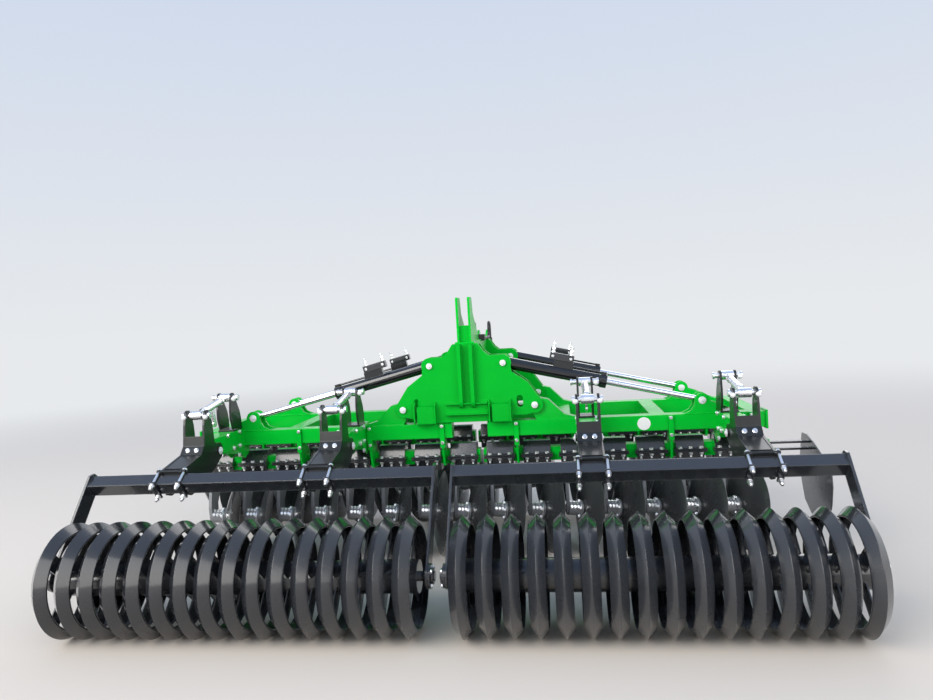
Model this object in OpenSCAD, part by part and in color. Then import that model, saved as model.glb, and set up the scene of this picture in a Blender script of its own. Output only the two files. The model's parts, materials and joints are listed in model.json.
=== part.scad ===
// Mounted disc harrow with two folding wings, two rows of sprung discs and two ring rollers.
// Millimetres. X to the right and Y forward in the driving direction, Z up.
// Places are worked out from the ground under the roller axles and the machine's centre line,
// and moved at the end so that the top link pin is the origin.

/* [Disc rows] */
// Distance between discs in one row
disc_pitch = 250; // [220:5:300]
// Diameter of a disc
disc_d = 560; // [460:10:610]
// Thickness of a disc
disc_t = 6; // [4:1:8]
// Depth of a disc's dish
disc_dish = 62; // [50:1:75]
// Angle of a disc to the driving direction
gang_angle = 17; // [10:1:20]
// Lean of a disc's axis from level
disc_lean = 8; // [0:1:12]
// Sideways shift of the rear row, and of the front row to the other side
row_shift = 62.5; // [50:0.5:70]
// Discs on a wing's longer row
discs_per_row = 8; // [5:1:8]
// Square tube that carries a row
disc_beam_w = 90; // [80:5:100]
// Height of the row tube above the ground
disc_beam_z = 655; // [640:5:680]

/* [Rubber sprung arms] */
// Length of a half shell along its tube
housing_l = 182; // [150:1:190]
// Depth of the two half shells where they meet
housing_d = 146; // [136:1:160]
// Height of the two half shells together
housing_h = 180; // [170:1:190]
// Width of a shell's flat crown
crown_w = 54; // [46:1:60]
// Width of the flat that an arm is welded to
belly_w = 84; // [76:1:90]
// Thickness of a shell's bolted flange
flange_t = 11; // [8:1:14]
// Distance a flange stands out from its shell
flange_out = 32; // [28:1:38]
// Length of a flange along its tube
flange_l = 210; // [200:1:216]
// Gap between the two bolted flanges
flange_gap = 3; // [2:0.5:5]
// Thickness of an arm's upright bar
arm_t = 22; // [16:1:26]
// Depth of that bar below the housing
arm_d = 76; // [60:1:78]
// Width of an arm's leaf shaped side
leaf_w = 108; // [80:1:116]
// Width of that side at the foot
leaf_foot_w = 30; // [20:1:40]
// Thickness of that side
leaf_t = 10; // [8:1:12]
// Turn of that side away from the crosswise direction
leaf_turn = 70; // [60:1:76]
// Radius of the hub's bearing case
hub_r = 44; // [40:1:48]
// Length of the hub's bearing case
hub_l = 92; // [88:1:96]
// Radius of the bolted collar between hub and disc
collar_r = 58; // [54:1:62]
// Thickness of that collar
collar_t = 14; // [12:1:18]

/* [Ring rollers] */
// Outer radius of a ring
ring_r = 302; // [280:1:310]
// Distance between rings
ring_pitch = 125; // [110:1:140]
// Rings on one roller
rings = 16; // [12:1:16]
// Width of a ring's roof shaped rim
ring_w = 85; // [70:1:95]
// Depth of the roof shaped rim
ring_h = 42; // [35:1:50]
// Thickness of the rim
ring_t = 8; // [6:1:10]
// Radius of the roller's tube
drum_r = 84; // [76:1:95]
// Width of a spoke
spoke_w = 80; // [50:1:90]
// Thickness of a spoke
spoke_t = 8; // [6:1:12]
// Middle of the innermost ring from the centre of both rollers
ring_x0 = 136; // [132:1:150]
// Distance that both rollers sit to the left of the machine's centre line
roller_shift = 45; // [0:1:50]

/* [Roller frames] */
// Square tube over a roller
roller_beam_w = 80; // [70:5:90]
// Tilt of that tube about its length
roller_beam_tilt = 35; // [20:1:45]
// Place of that tube in front of the axle
roller_beam_y = 350; // [335:5:370]
// Height of that tube
roller_beam_z = 735; // [720:5:750]
// Thickness of an end plate
end_plate_t = 14; // [10:1:20]
// Width of an end plate
end_plate_w = 104; // [90:1:120]
// Radius of the roller's axle stub
stub_r = 25; // [20:1:28]
// Radius of the bearing flange on an end plate
bearing_r = 62; // [56:1:64]
// Depth of that bearing
bearing_t = 26; // [20:1:28]
// Length of the clamp plates on the roller tube
clamp_l = 176; // [165:1:190]
// Thickness of a roller arm's plate
roller_arm_t = 14; // [10:1:16]
// Radius of the pin between wing and roller arm
arm_pin_r = 20; // [16:1:24]
// Width of a wing's bracket for a roller arm
bracket_w = 110; // [100:1:120]
// Wall of that bracket
bracket_t = 12; // [8:1:15]
// Radius of a spindle's cross pins
spindle_pin_r = 16; // [12:1:18]
// Length of a spindle's cross pins
spindle_pin_l = 180; // [170:1:190]
// Radius of a spindle's sleeve
sleeve_r = 22; // [18:1:25]

/* [Frame] */
// Square tube of the wing frames
tube_w = 100; // [90:5:110]
// Height of the wing tubes' middle
tube_z = 850; // [845:5:860]
// Rear wing tube's middle in front of the roller axle
rear_y = 1265; // [1255:5:1275]
// Distance from the rear tube to the front tube
frame_len = 790; // [760:5:820]
// Outer end of the wing tubes from the centre line
wing_end_x = 1900; // [1860:5:1950]
// Inner end of the wing tubes from the centre line
wing_start_x = 120; // [110:5:140]
// Thickness of a hanger between a wing tube and its row tube
hanger_t = 14; // [10:1:16]
// Width of a hanger's rear flange
hanger_w = 32; // [26:1:40]
// Thickness of the tower's plates
tower_t = 20; // [15:1:25]
// Lower edge of the tower's plates
foot_z = 906; // [906:1:920]
// Distance that the tower's two ribs stand out
rib_out = 45; // [30:1:60]
// Thickness of a rib
rib_t = 24; // [18:1:28]
// Gap between a pair of tower plates
tower_gap = 90; // [90:1:100]
// Wing pivot from the centre line
pivot_x = 443; // [430:1:460]
// Height of the wing pivot
pivot_z = 1003; // [990:1:1020]
// Cylinder pin on the tower from the centre line
ram_x = 247; // [240:1:255]
// Height of the cylinder pin on the tower
ram_z = 1290; // [1270:5:1300]
// Cylinder pin on the wing from the centre line
lug_x = 1515; // [1490:5:1540]
// Height of the cylinder pin on the wing
lug_z = 985; // [980:1:1000]
// Radius of a lobe around a pin
lobe_r = 55; // [50:1:60]
// Radius of the wing pivot pin
pivot_r = 25; // [20:1:28]
// Radius of the cylinder pins
ram_pin_r = 17.5; // [15:0.5:20]

/* [Cylinders] */
// Outer radius of a barrel
barrel_r = 40; // [36:1:42]
// Inner radius of a barrel
barrel_bore_r = 33; // [30:1:34]
// Radius of a piston rod
rod_r = 20; // [16:1:24]
// Length from the base pin to the gland's face
barrel_l = 690; // [660:5:700]
// Width of an eye at either end
eye_w = 60; // [50:1:70]
// Radius of an eye
eye_r = 38; // [34:1:40]
// Thickness of a lug plate on the wing
lug_t = 15; // [12:1:16]

/* [Hitch] */
// Height of the top link pin
mast_z = 1440; // [1420:5:1470]
// Top of the rear fins
fin_top = 1738; // [1700:1:1760]
// Middle of the cross tube in front of the tower
hitch_out = 280; // [275:5:320]
// Clear gap between the mast's plates
mast_gap = 54; // [52:1:70]
// Thickness of a mast plate
mast_t = 15; // [12:1:20]
// Radius of the top link pin's bore
top_pin_r = 12.9; // [12.7:0.1:13.2]
// Lower link pins' spread to the middle of each pin
lower_spread = 825; // [780:5:870]
// Height of the lower link pins
lower_z = 640; // [620:5:660]
// Radius of a lower link pin's bore
lower_pin_r = 14.4; // [14.2:0.1:18.5]

/* [Side plate] */
// Length of the right rear row's tube beyond its last housing
shield_over = 130; // [110:5:150]
// Distance from that tube's end to the side plate
shield_gap = 248; // [220:1:280]
// Thickness of the side plate
shield_t = 8; // [6:1:10]

/* [Hidden] */
clear = 0.3;
run = 0.05;
face_gap = 0.5;
axle_stub_r = 18;
axle_stub_l = 50;
axle_z = ring_r;
front_y = rear_y + frame_len;
tower_w = tower_gap + 2 * tower_t;
SIDES = [["right", 1], ["left", -1]];
ROWS = [["rear", 1], ["front", -1]];
// Discs on each row: [side, row, count]
ROW_COUNT = [["right", "rear", discs_per_row - 1], ["left", "rear", discs_per_row],
             ["right", "front", discs_per_row], ["left", "front", discs_per_row]];
disc_names = [for (s = SIDES) for (r = ROWS) for (k = [1:count_of(s[0], r[0])])
    str("disc_", r[0], "_", s[0], "_", k)];

green = [0.02, 0.62, 0.10];
black = [0.06, 0.07, 0.08];
zinc = [0.75, 0.77, 0.80];
chrome = [0.88, 0.89, 0.91];
steel = [0.42, 0.42, 0.42];

function count_of(side, row) = [for (c = ROW_COUNT) if (c[0] == side && c[1] == row) c[2]][0];
function side_sign(side) = side == "right" ? 1 : -1;
function row_sign(row) = row == "rear" ? 1 : -1;
// Row tube's middle along the driving direction
row_out = 90;
function row_y(row) = (row == "rear" ? rear_y : front_y) + row_out;
// Sideways place of a row's housing
function housing_x(side, row, k) =
    side_sign(side) * disc_pitch * (k + 0.5) + row_sign(row) * row_shift;

// Arm foot's place: behind its tube and to the convex side of the disc
arm_back = 110;
arm_side = 40;
// Upright bar's middle, from the hub's middle to the side away from the disc
bar_side = 20;
// Hub's rear end, its face and the disc's rim, along the axle from the hub's middle
hub_back = 26;
hub_face = hub_l - hub_back;
rim_out = hub_face + face_gap + disc_dish;
hub_z = disc_d / 2 * cos(disc_lean) + rim_out * sin(disc_lean);
ram_dx = lug_x - ram_x;
ram_dz = ram_z - lug_z;
ram_angle = atan2(ram_dz, ram_dx);
ram_open = sqrt(ram_dx * ram_dx + ram_dz * ram_dz);

// Helpers
module in_frame() { translate([0, -mast_y, -mast_z]) children(); }
module on_side(side) { if (side == "right") children(); else mirror([1, 0, 0]) children(); }
// Plate standing across the machine, its outline in X and Z, from y on forward
module plate_across(y, t) { translate([0, y + t, 0]) rotate([90, 0, 0]) linear_extrude(t) children(); }
// Plate standing along the machine, its outline in Y and Z, from x on to the right
module plate_along(x, t) { translate([x, 0, 0]) rotate([90, 0, 90]) linear_extrude(t) children(); }
// Round bar along Y or X, from the place given
module rod_y(x, y, z, r, l) { translate([x, y, z]) rotate([-90, 0, 0]) cylinder(r = r, h = l, $fn = 48); }
module rod_x(x, y, z, r, l) { translate([x, y, z]) rotate([0, 90, 0]) cylinder(r = r, h = l, $fn = 48); }
// Square tube along X, drawn as a solid bar
module beam_x(x0, x1, y, z, w) { translate([x0, y - w / 2, z - w / 2]) cube([x1 - x0, w, w]); }

// Tower
hitch_y = front_y + tower_w / 2 + hitch_out;
mast_y = hitch_y;
fin_x = 40;
fin_t = 15;
fin_tip = 130;
fin_foot = 440;
fin_base_t = 12;
pin_over = 8;
hitch_tube_w = 100;
hitch_tube_z = 770;
top_half = 86;
top_z = 1428;
sill_z = 940;
sill_x = 290;
spine_x = 200;
spine_w = 100;
web_x = 60;
weld = 2;
module tower_outline() {
    for (m = [0, 1]) mirror([m, 0, 0]) {
        polygon([[0, foot_z], [0, top_z], [top_half, top_z], [top_half + 38, top_z - 55],
            [ram_x - 90, ram_z + lobe_r], [ram_x, ram_z + lobe_r], [ram_x + lobe_r * 0.93, ram_z - 28],
            [ram_x + lobe_r, ram_z - 60], [pivot_x - 38, pivot_z + 152], [pivot_x + 16, pivot_z + 73],
            [pivot_x + lobe_r * 0.95, pivot_z + 20], [pivot_x + lobe_r * 0.6, pivot_z - lobe_r * 0.75],
            [pivot_x - 58, sill_z], [sill_x, sill_z], [sill_x - 22, foot_z]]);
        translate([ram_x, ram_z]) circle(r = lobe_r, $fn = 64);
        translate([pivot_x, pivot_z]) circle(r = lobe_r, $fn = 64);
    }
}
// Long hole that lightens a plate between its two lobes
slot_r = 20;
module tower_slots() {
    for (m = [0, 1]) mirror([m, 0, 0]) translate([pivot_x - 96, pivot_z + 8]) {
        circle(r = slot_r, $fn = 48);
        translate([-slot_r, 0]) square([2 * slot_r, 2 * slot_r]);
        translate([0, 2 * slot_r]) circle(r = slot_r, $fn = 48);
    }
}
module tower_plate(y) {
    plate_across(y, tower_t) difference() {
        tower_outline();
        tower_slots();
    }
}
module tower_pair(y) {
    tower_plate(y - tower_w / 2);
    tower_plate(y + tower_gap / 2);
    for (m = [-1, 1]) {
        rod_y(m * pivot_x, y - tower_w / 2 - pin_over, pivot_z, pivot_r, tower_w + 2 * pin_over);
        rod_y(m * ram_x, y - tower_w / 2 - pin_over, ram_z, ram_pin_r, tower_w + 2 * pin_over);
    }
}
// Two upright ribs on the rear plate, in line with the fins, with rounded feet
rib_foot_z = 1000;
module tower_ribs(y0) {
    for (m = [-1, 1]) plate_along(m * fin_x - rib_t / 2, rib_t) {
        translate([y0 - rib_out, rib_foot_z + rib_out]) square([rib_out, top_z - rib_foot_z - rib_out]);
        translate([y0, rib_foot_z + rib_out]) intersection() {
            circle(r = rib_out, $fn = 64);
            translate([-rib_out, -rib_out]) square([rib_out, rib_out + weld]);
        }
    }
}
// Shelf across the rear plate, a channel open to the rear
shelf_x = [-152, 134];
shelf_z = [958, 1036];
shelf_out = 36;
shelf_t = 8;
module tower_shelf(y0) {
    x = shelf_x[0];
    l = shelf_x[1] - shelf_x[0];
    h = shelf_z[1] - shelf_z[0];
    for (z = [shelf_z[0], shelf_z[1] - shelf_t])
        translate([x, y0 - shelf_out, z]) cube([l, shelf_out, shelf_t]);
    translate([x, y0 - shelf_t, shelf_z[0]]) cube([l, shelf_t, h]);
}
// Guard panels that stand off the rear plate beside the pivots
panel_z = 1052;
panel_out = 48;
panel_t = 8;
panel_w = 148;
panel_x = [-290, 214];
panel_drop = 24;
module tower_panel(x, y0) {
    for (e = [-1, 1]) plate_along(x + e * (panel_w - panel_t) / 2 - panel_t / 2, panel_t)
        polygon([[y0, foot_z], [y0, panel_z], [y0 - panel_out, panel_z - panel_drop],
            [y0 - panel_out, foot_z]]);
    translate([x - panel_w / 2 + panel_t + 14, y0 - panel_out + 10, foot_z])
        cube([panel_w - 2 * panel_t - 14, panel_t, panel_z - panel_drop - foot_z - 6]);
}
module tower() color(green) {
    y0 = rear_y - tower_w / 2;
    for (y = [rear_y, front_y]) tower_pair(y);
    for (m = [-1, 1]) {
        translate([m * spine_x - spine_w / 2, rear_y - tower_gap / 2, foot_z])
            cube([spine_w, frame_len + tower_gap, spine_w]);
        translate([m * web_x - mast_t / 2, rear_y + tower_gap / 2, foot_z + spine_w])
            cube([mast_t, frame_len - tower_gap, top_z - foot_z - spine_w]);
    }
    for (y = [rear_y, front_y]) {
        translate([-spine_x - spine_w / 2, y - tower_gap / 2, foot_z])
            cube([2 * spine_x + spine_w, tower_gap, spine_w]);
        translate([-top_half, y - tower_gap / 2, top_z - tower_t]) cube([2 * top_half, tower_gap, tower_t]);
    }
    tower_ribs(y0);
    tower_shelf(y0);
    for (x = panel_x) tower_panel(x, y0);
}

// Pair of fins on a base plate that stands on the rear tower plates
fin_fill_z = 112;
fin_fill_t = 15;
fin_corner = 12;
module rear_mast() color(green) {
    y0 = rear_y - tower_w / 2;
    z0 = top_z + fin_base_t;
    translate([-fin_x - rib_t, y0, top_z]) cube([2 * (fin_x + rib_t), fin_foot, fin_base_t]);
    for (m = [-1, 1]) plate_along(m * fin_x - fin_t / 2, fin_t)
        polygon([[y0, z0 - weld], [y0, fin_top - fin_corner], [y0 + fin_corner, fin_top],
            [y0 + fin_tip - fin_corner, fin_top], [y0 + fin_tip, fin_top - fin_corner],
            [y0 + fin_tip + 30, fin_top - 110], [y0 + fin_foot - 90, z0 + 70], [y0 + fin_foot, z0 + 20],
            [y0 + fin_foot, z0 - weld]]);
    translate([-fin_x + fin_t / 2 - weld, y0 + 30, z0 - weld])
        cube([2 * (fin_x + weld) - fin_t, fin_fill_t, fin_fill_z]);
}

// Headstock: cross tube, stays back to the tower, top link clevis and lower link ears
ear_gap = 70;
ear_t = 20;
stay_x = 150;
stay_t = 20;
lower_y = hitch_y + 10;
lower_ear_r = 50;
clevis_x = (mast_gap + mast_t) / 2;
clevis_z = [1020, 1330];
stay_z = [925, 1240];
module headstock() color(green) {
    y0 = front_y + tower_w / 2;
    tube_top = hitch_tube_z + hitch_tube_w;
    x_out = lower_spread / 2 + ear_gap / 2 + ear_t;
    y_back = hitch_y - hitch_tube_w / 2;
    y_front = hitch_y + hitch_tube_w / 2;
    translate([-x_out, y_back, hitch_tube_z]) cube([2 * x_out, hitch_tube_w, hitch_tube_w]);
    difference() {
        for (m = [-1, 1]) plate_along(m * clevis_x - mast_t / 2, mast_t) {
            polygon([[y0, clevis_z[0]], [y0, clevis_z[1]], [mast_y - 45, mast_z + 35],
                [mast_y + 52, mast_z - 10], [y_front - 10, tube_top + 230], [y_front, tube_top],
                [y_back, tube_top], [y_back - 20, clevis_z[0] - 20]]);
            translate([mast_y, mast_z]) circle(r = lobe_r, $fn = 64);
        }
        rod_x(-mast_gap, mast_y, mast_z, top_pin_r, 2 * mast_gap);
    }
    for (m = [-1, 1]) {
        difference() {
            for (e = [-1, 1])
                plate_along(m * lower_spread / 2 + e * (ear_gap + ear_t) / 2 - ear_t / 2, ear_t) {
                polygon([[y_back, tube_top], [y_front, tube_top], [y_front, lower_z],
                    [lower_y - lower_ear_r, lower_z], [y_back, hitch_tube_z - 30]]);
                translate([lower_y, lower_z]) circle(r = lower_ear_r, $fn = 64);
            }
            rod_x(m * lower_spread / 2 - ear_gap, lower_y, lower_z, lower_pin_r, 2 * ear_gap);
        }
        plate_along(m * stay_x - stay_t / 2, stay_t)
            polygon([[y0, stay_z[0]], [y0, stay_z[1]], [y0 + 50, stay_z[1]], [y_front - 20, tube_top + 30],
                [y_front - 20, tube_top], [y_back, tube_top], [y_back, hitch_tube_z]]);
    }
}

// Wing frame
tube_top_z = tube_z + tube_w / 2;
tube_foot_z = tube_z - tube_w / 2;
inner_x = pivot_x + 130;
middle_x = 1190;
cap_t = 12;
cap_over = 10;
module wing_tubes() {
    for (y = [rear_y, front_y]) {
        beam_x(wing_start_x, wing_end_x, y, tube_z, tube_w);
        translate([wing_end_x - weld, y - tube_w / 2 - cap_over, tube_foot_z - cap_over])
            cube([cap_t + weld, tube_w + 2 * cap_over, tube_w + 2 * cap_over]);
    }
    for (x = [inner_x, middle_x, wing_end_x - tube_w])
        translate([x, rear_y, tube_foot_z]) cube([tube_w, frame_len, tube_w]);
}
// Ear that hangs on the wing pivot, between the tower's plates
pivot_ear_r = 49;
module pivot_ear(y) {
    w = tower_gap - 2 * pivot_side_gap;
    difference() {
        plate_across(y - w / 2, w) {
            translate([pivot_x, pivot_z]) circle(r = pivot_ear_r, $fn = 64);
            polygon([[pivot_x + 10, pivot_z + pivot_ear_r - 2], [pivot_x + 90, pivot_z + 28],
                [pivot_x + 190, tube_top_z + 30], [pivot_x + 300, tube_top_z], [pivot_x + 300, tube_foot_z],
                [pivot_x + 60, tube_foot_z], [pivot_x - 30, pivot_z - 38]]);
        }
        rod_y(pivot_x, y - w, pivot_z, pivot_r + run, 2 * w);
    }
}
pivot_side_gap = 5;
// Two lug plates that take the rod's eye, each swept down to the tube
lug_side_gap = 3;
lug_r = lobe_r - 8;
module ram_lug(y) {
    for (e = [-1, 1]) plate_across(y + e * (eye_w / 2 + lug_side_gap + lug_t / 2) - lug_t / 2, lug_t) {
        translate([lug_x, lug_z]) circle(r = lug_r, $fn = 64);
        polygon([[lug_x - lug_r + 3, lug_z + 12], [lug_x - lug_r - 6, lug_z - 30],
            [lug_x - 74, tube_top_z + 22], [lug_x - 120, tube_top_z],
            [lug_x - 120, tube_top_z - 10], [lug_x + 230, tube_top_z - 10],
            [lug_x + 230, tube_top_z], [lug_x + 110, tube_top_z + 58], [lug_x + lug_r + 4, lug_z - 8],
            [lug_x + 30, lug_z + lug_r * 0.75]]);
    }
}
// Hollow bracket that runs back from the rear tube to a roller arm's pin
bracket_x = [770, 1650];
bracket_back = 745;
bracket_top = 20;
arm_pin = [820, 838];
module roller_bracket(x) {
    y1 = rear_y + tube_w / 2;
    difference() {
        plate_along(x - bracket_w / 2, bracket_w)
            polygon([[bracket_back, tube_foot_z], [bracket_back, arm_pin[1] + 40],
                [bracket_back + 30, tube_top_z + bracket_top], [y1, tube_top_z + bracket_top],
                [y1, tube_foot_z], [y1 - 25, tube_foot_z - 60], [y1 - 85, tube_foot_z - 90],
                [y1 - 150, tube_foot_z - 50], [y1 - 210, tube_foot_z]]);
        translate([x - bracket_w / 2 + bracket_t, bracket_back - 1, tube_foot_z + bracket_t])
            cube([bracket_w - 2 * bracket_t, rear_y - tube_w / 2 - bracket_back - 10,
                tube_w + bracket_top - 2 * bracket_t]);
        translate([x - bracket_w / 2 + bracket_t, y1 - 150, tube_foot_z - 100])
            cube([bracket_w - 2 * bracket_t, 110, 100 - bracket_t]);
        rod_x(x - bracket_w, arm_pin[0], arm_pin[1], arm_pin_r + clear, 2 * bracket_w);
    }
}
module wing_frame(side) color(green) on_side(side) {
    wing_tubes();
    for (y = [rear_y, front_y]) {
        pivot_ear(y);
        ram_lug(y);
    }
    for (x = bracket_x) roller_bracket(x);
}

// Row tubes, each on flanged hangers from its wing tube
row_end = 30;
row_cap_t = 10;
row_cap_over = 12;
row_start = 12;
function row_over(side, row) = side == "right" && row == "rear" ? shield_over : row_end;
function row_x(side, row) = housing_x(side, row, count_of(side, row) - 1)
    + side_sign(side) * (disc_pitch / 2 + row_over(side, row));
hanger_drop = 60;
hanger_nose = 12;
module hanger(x, y, row) {
    wraps = row == "rear";
    back = y - tube_w / 2 - (wraps ? hanger_t : 0);
    face = y - tube_w / 2 - clear;
    seat = tube_foot_z - clear;
    low = disc_beam_z - disc_beam_w / 2;
    front = y + row_out + disc_beam_w / 2 + hanger_nose;
    plate_along(x - hanger_t / 2, hanger_t) polygon(concat(
        wraps ? [[back, tube_top_z], [face, tube_top_z], [face, seat]] : [[back, seat]],
        [[y + tube_w / 2, seat], [front - 19, low + disc_beam_w + 6], [front, low + disc_beam_w - 10],
            [front, low - 10], [y + 30, low - 10], [y - 20, low], [back, tube_foot_z - hanger_drop]]));
    if (wraps) translate([x - hanger_w / 2, back, tube_foot_z - hanger_drop])
        cube([hanger_w, flange_t, tube_w + hanger_drop]);
}
module row_beam(side, row) {
    s = side_sign(side);
    n = count_of(side, row);
    xa = housing_x(side, row, 0) - s * (disc_pitch / 2 - row_start);
    xb = row_x(side, row);
    beam_x(min(xa, xb), max(xa, xb), row_y(row), disc_beam_z, disc_beam_w);
    cap_w = disc_beam_w + 2 * row_cap_over;
    if (row_over(side, row) == row_end)
        translate([xb - row_cap_t / 2, row_y(row) - cap_w / 2, disc_beam_z - cap_w / 2])
            cube([row_cap_t, cap_w, cap_w]);
    for (k = [0:2:n - 1]) {
        x = housing_x(side, row, k) + s * disc_pitch / 2;
        off_bracket = min([for (b = bracket_x) abs(abs(x) - b)]);
        if (row == "front" || off_bracket > (bracket_w + hanger_w) / 2 + face_gap)
            hanger(x, row_y(row) - row_out, row);
    }
}
module row_beams(side) color(green) for (r = ROWS) row_beam(side, r[0]);

// Clamp housing: two pressed half shells around the tube, bolted flange to flange
module housing_outline() {
    polygon([[-housing_d / 2, 0], [-housing_d / 2, flange_t], [-crown_w / 2 - 6, housing_h / 2 - 3],
        [-crown_w / 2, housing_h / 2], [crown_w / 2, housing_h / 2], [crown_w / 2 + 6, housing_h / 2 - 3],
        [housing_d / 2, flange_t], [housing_d / 2, -flange_t], [belly_w / 2 + 6, -housing_h / 2 + 3],
        [belly_w / 2, -housing_h / 2], [-belly_w / 2, -housing_h / 2], [-belly_w / 2 - 6, -housing_h / 2 + 3],
        [-housing_d / 2, -flange_t]]);
}
module housing() {
    depth = housing_d + 2 * flange_out;
    hole = disc_beam_w + 2 * clear;
    difference() {
        union() {
            plate_along(-housing_l / 2, housing_l) housing_outline();
            for (e = [0, 1]) mirror([0, 0, e]) translate([-flange_l / 2, -depth / 2, flange_gap / 2])
                cube([flange_l, depth, flange_t]);
        }
        translate([-housing_l, -hole / 2, -hole / 2]) cube([2 * housing_l, hole, hole]);
        for (m = [-1, 1]) translate([-housing_l, m * depth / 2 - flange_out, -flange_gap / 2])
            cube([2 * housing_l, 2 * flange_out, flange_gap]);
    }
}
module clamp_housings(side) color(black)
    for (r = ROWS) for (k = [0:count_of(side, r[0]) - 1])
        translate([housing_x(side, r[0], k), row_y(r[0]), disc_beam_z]) housing();

// A disc's own place, with its axis turned so that +Z points out of the hollow side
module at_disc(side, row, k) {
    s = row_sign(row);
    translate([housing_x(side, row, k) - s * arm_side, row_y(row) - arm_back, hub_z])
        rotate([0, 0, s > 0 ? gang_angle : 180 - gang_angle]) rotate([0, 90 + disc_lean, 0]) children();
}
// Points of an arc about a middle, in N equal steps
function arc_at(c, r, a0, a1, n) =
    [for (i = [0:n]) c + r * [cos(a0 + (a1 - a0) * i / n), sin(a0 + (a1 - a0) * i / n)]];
// Upright bar with a bowed back, and its round foot on the hub
module arm_bar() {
    top = -housing_h / 2 + disc_beam_z;
    plate_along(-arm_t / 2, arm_t) polygon(concat(
        [[arm_back - arm_d / 2, top], [arm_back + arm_d / 2, top], [arm_back + arm_d / 2 - 8, top - 60],
            [hub_r + 14, hub_z + 86]],
        arc_at([0, hub_z], hub_r - 4, 20, -160, 12),
        [[-hub_r + 2, hub_z + 70], [-hub_r + 22, top - 96], [arm_back - arm_d / 2 - 18, top - 38]]));
}
// Leaf shaped side plate, narrow at the top, broad in the middle, narrow at the foot
module arm_leaf() {
    top = disc_beam_z - housing_h / 2;
    broad_z = top - 92;
    foot = hub_z + 34;
    rotate([0, 0, -180 + leaf_turn]) translate([0, leaf_t, 0]) rotate([90, 0, 0]) linear_extrude(leaf_t)
        polygon([[0, top - 10], [24, top - 10], [leaf_w * 0.72, broad_z + 40], [leaf_w * 0.95, broad_z + 14],
            [leaf_w, broad_z], [leaf_w * 0.94, broad_z - 16], [leaf_foot_w + 12, foot + 12],
            [leaf_foot_w, foot], [0, foot]]);
}
module disc_arm(side, row, k) {
    s = row_sign(row);
    difference() {
        union() {
            translate([housing_x(side, row, k) - s * arm_side, row_y(row) - arm_back, 0])
                mirror([s > 0 ? 0 : 1, 0, 0]) translate([-bar_side, 0, 0]) {
                    arm_bar();
                    translate([-arm_t / 2 + 6, arm_back - arm_d / 2 + 4, 0]) arm_leaf();
                }
            at_disc(side, row, k) {
                translate([0, 0, -hub_back]) cylinder(r = hub_r, h = hub_l, $fn = 48);
                translate([0, 0, -hub_back - 8]) cylinder(r = hub_r - 12, h = 10, $fn = 48);
                translate([0, 0, hub_face - collar_t]) cylinder(r = collar_r, h = collar_t, $fn = 48);
            }
        }
        at_disc(side, row, k) translate([0, 0, hub_face - axle_stub_l - 5])
            cylinder(r = axle_stub_r + run, h = axle_stub_l + 10, $fn = 40);
    }
}
module disc_arms(side) color(steel)
    for (r = ROWS) for (k = [0:count_of(side, r[0]) - 1]) disc_arm(side, r[0], k);

// Dished disc, on the hub's face
sphere_r = (disc_d * disc_d / 4 + disc_dish * disc_dish) / (2 * disc_dish);
disc_edge = asin(disc_d / 2 / sphere_r);
module disc_profile() {
    difference() {
        intersection() {
            translate([0, sphere_r]) circle(r = sphere_r, $fn = 180);
            square([disc_d / 2, disc_dish]);
        }
        translate([0, sphere_r + disc_t]) circle(r = sphere_r, $fn = 180);
    }
}
module disc(side, row, k) color(steel)
    at_disc(side, row, k) translate([0, 0, hub_face + face_gap]) {
        rotate_extrude($fn = 96) disc_profile();
        cylinder(r = collar_r, h = collar_t, $fn = 48);
        translate([0, 0, -axle_stub_l]) cylinder(r = axle_stub_r, h = axle_stub_l + 5, $fn = 40);
    }

// Ring roller
module ring_profile() {
    w = ring_w / 2;
    polygon([[ring_r, 0], [ring_r - ring_h, w], [ring_r - ring_h - ring_t, w],
        [ring_r - ring_t * 1.2, 0], [ring_r - ring_h - ring_t, -w], [ring_r - ring_h, -w]]);
}
module ring() {
    reach = ring_r - ring_t * 1.2;
    rotate([0, 90, 0]) {
        rotate_extrude($fn = 96) ring_profile();
        for (a = [45, 135]) rotate([0, 0, a]) translate([-reach, -spoke_w / 2, -spoke_t / 2])
            cube([2 * reach, spoke_w, spoke_t]);
    }
}
module roller(side) color(black) {
    x1 = ring_x0 + (rings - 1) * ring_pitch;
    over = bearing_t + 4;
    translate([-roller_shift, 0, axle_z]) on_side(side) {
        for (k = [0:rings - 1]) translate([ring_x0 + k * ring_pitch, 0, 0]) ring();
        rod_x(ring_x0 - ring_w / 2, 0, 0, drum_r, x1 - ring_x0 + ring_w);
        rod_x(roller_x0 - over, 0, 0, stub_r, roller_x1 - roller_x0 + 2 * over);
    }
}

// Roller frame
roller_x0 = ring_x0 - ring_w / 2 - 50;
roller_x1 = ring_x0 + (rings - 1) * ring_pitch + ring_w / 2 + 60;
plate_over = 70;
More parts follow.
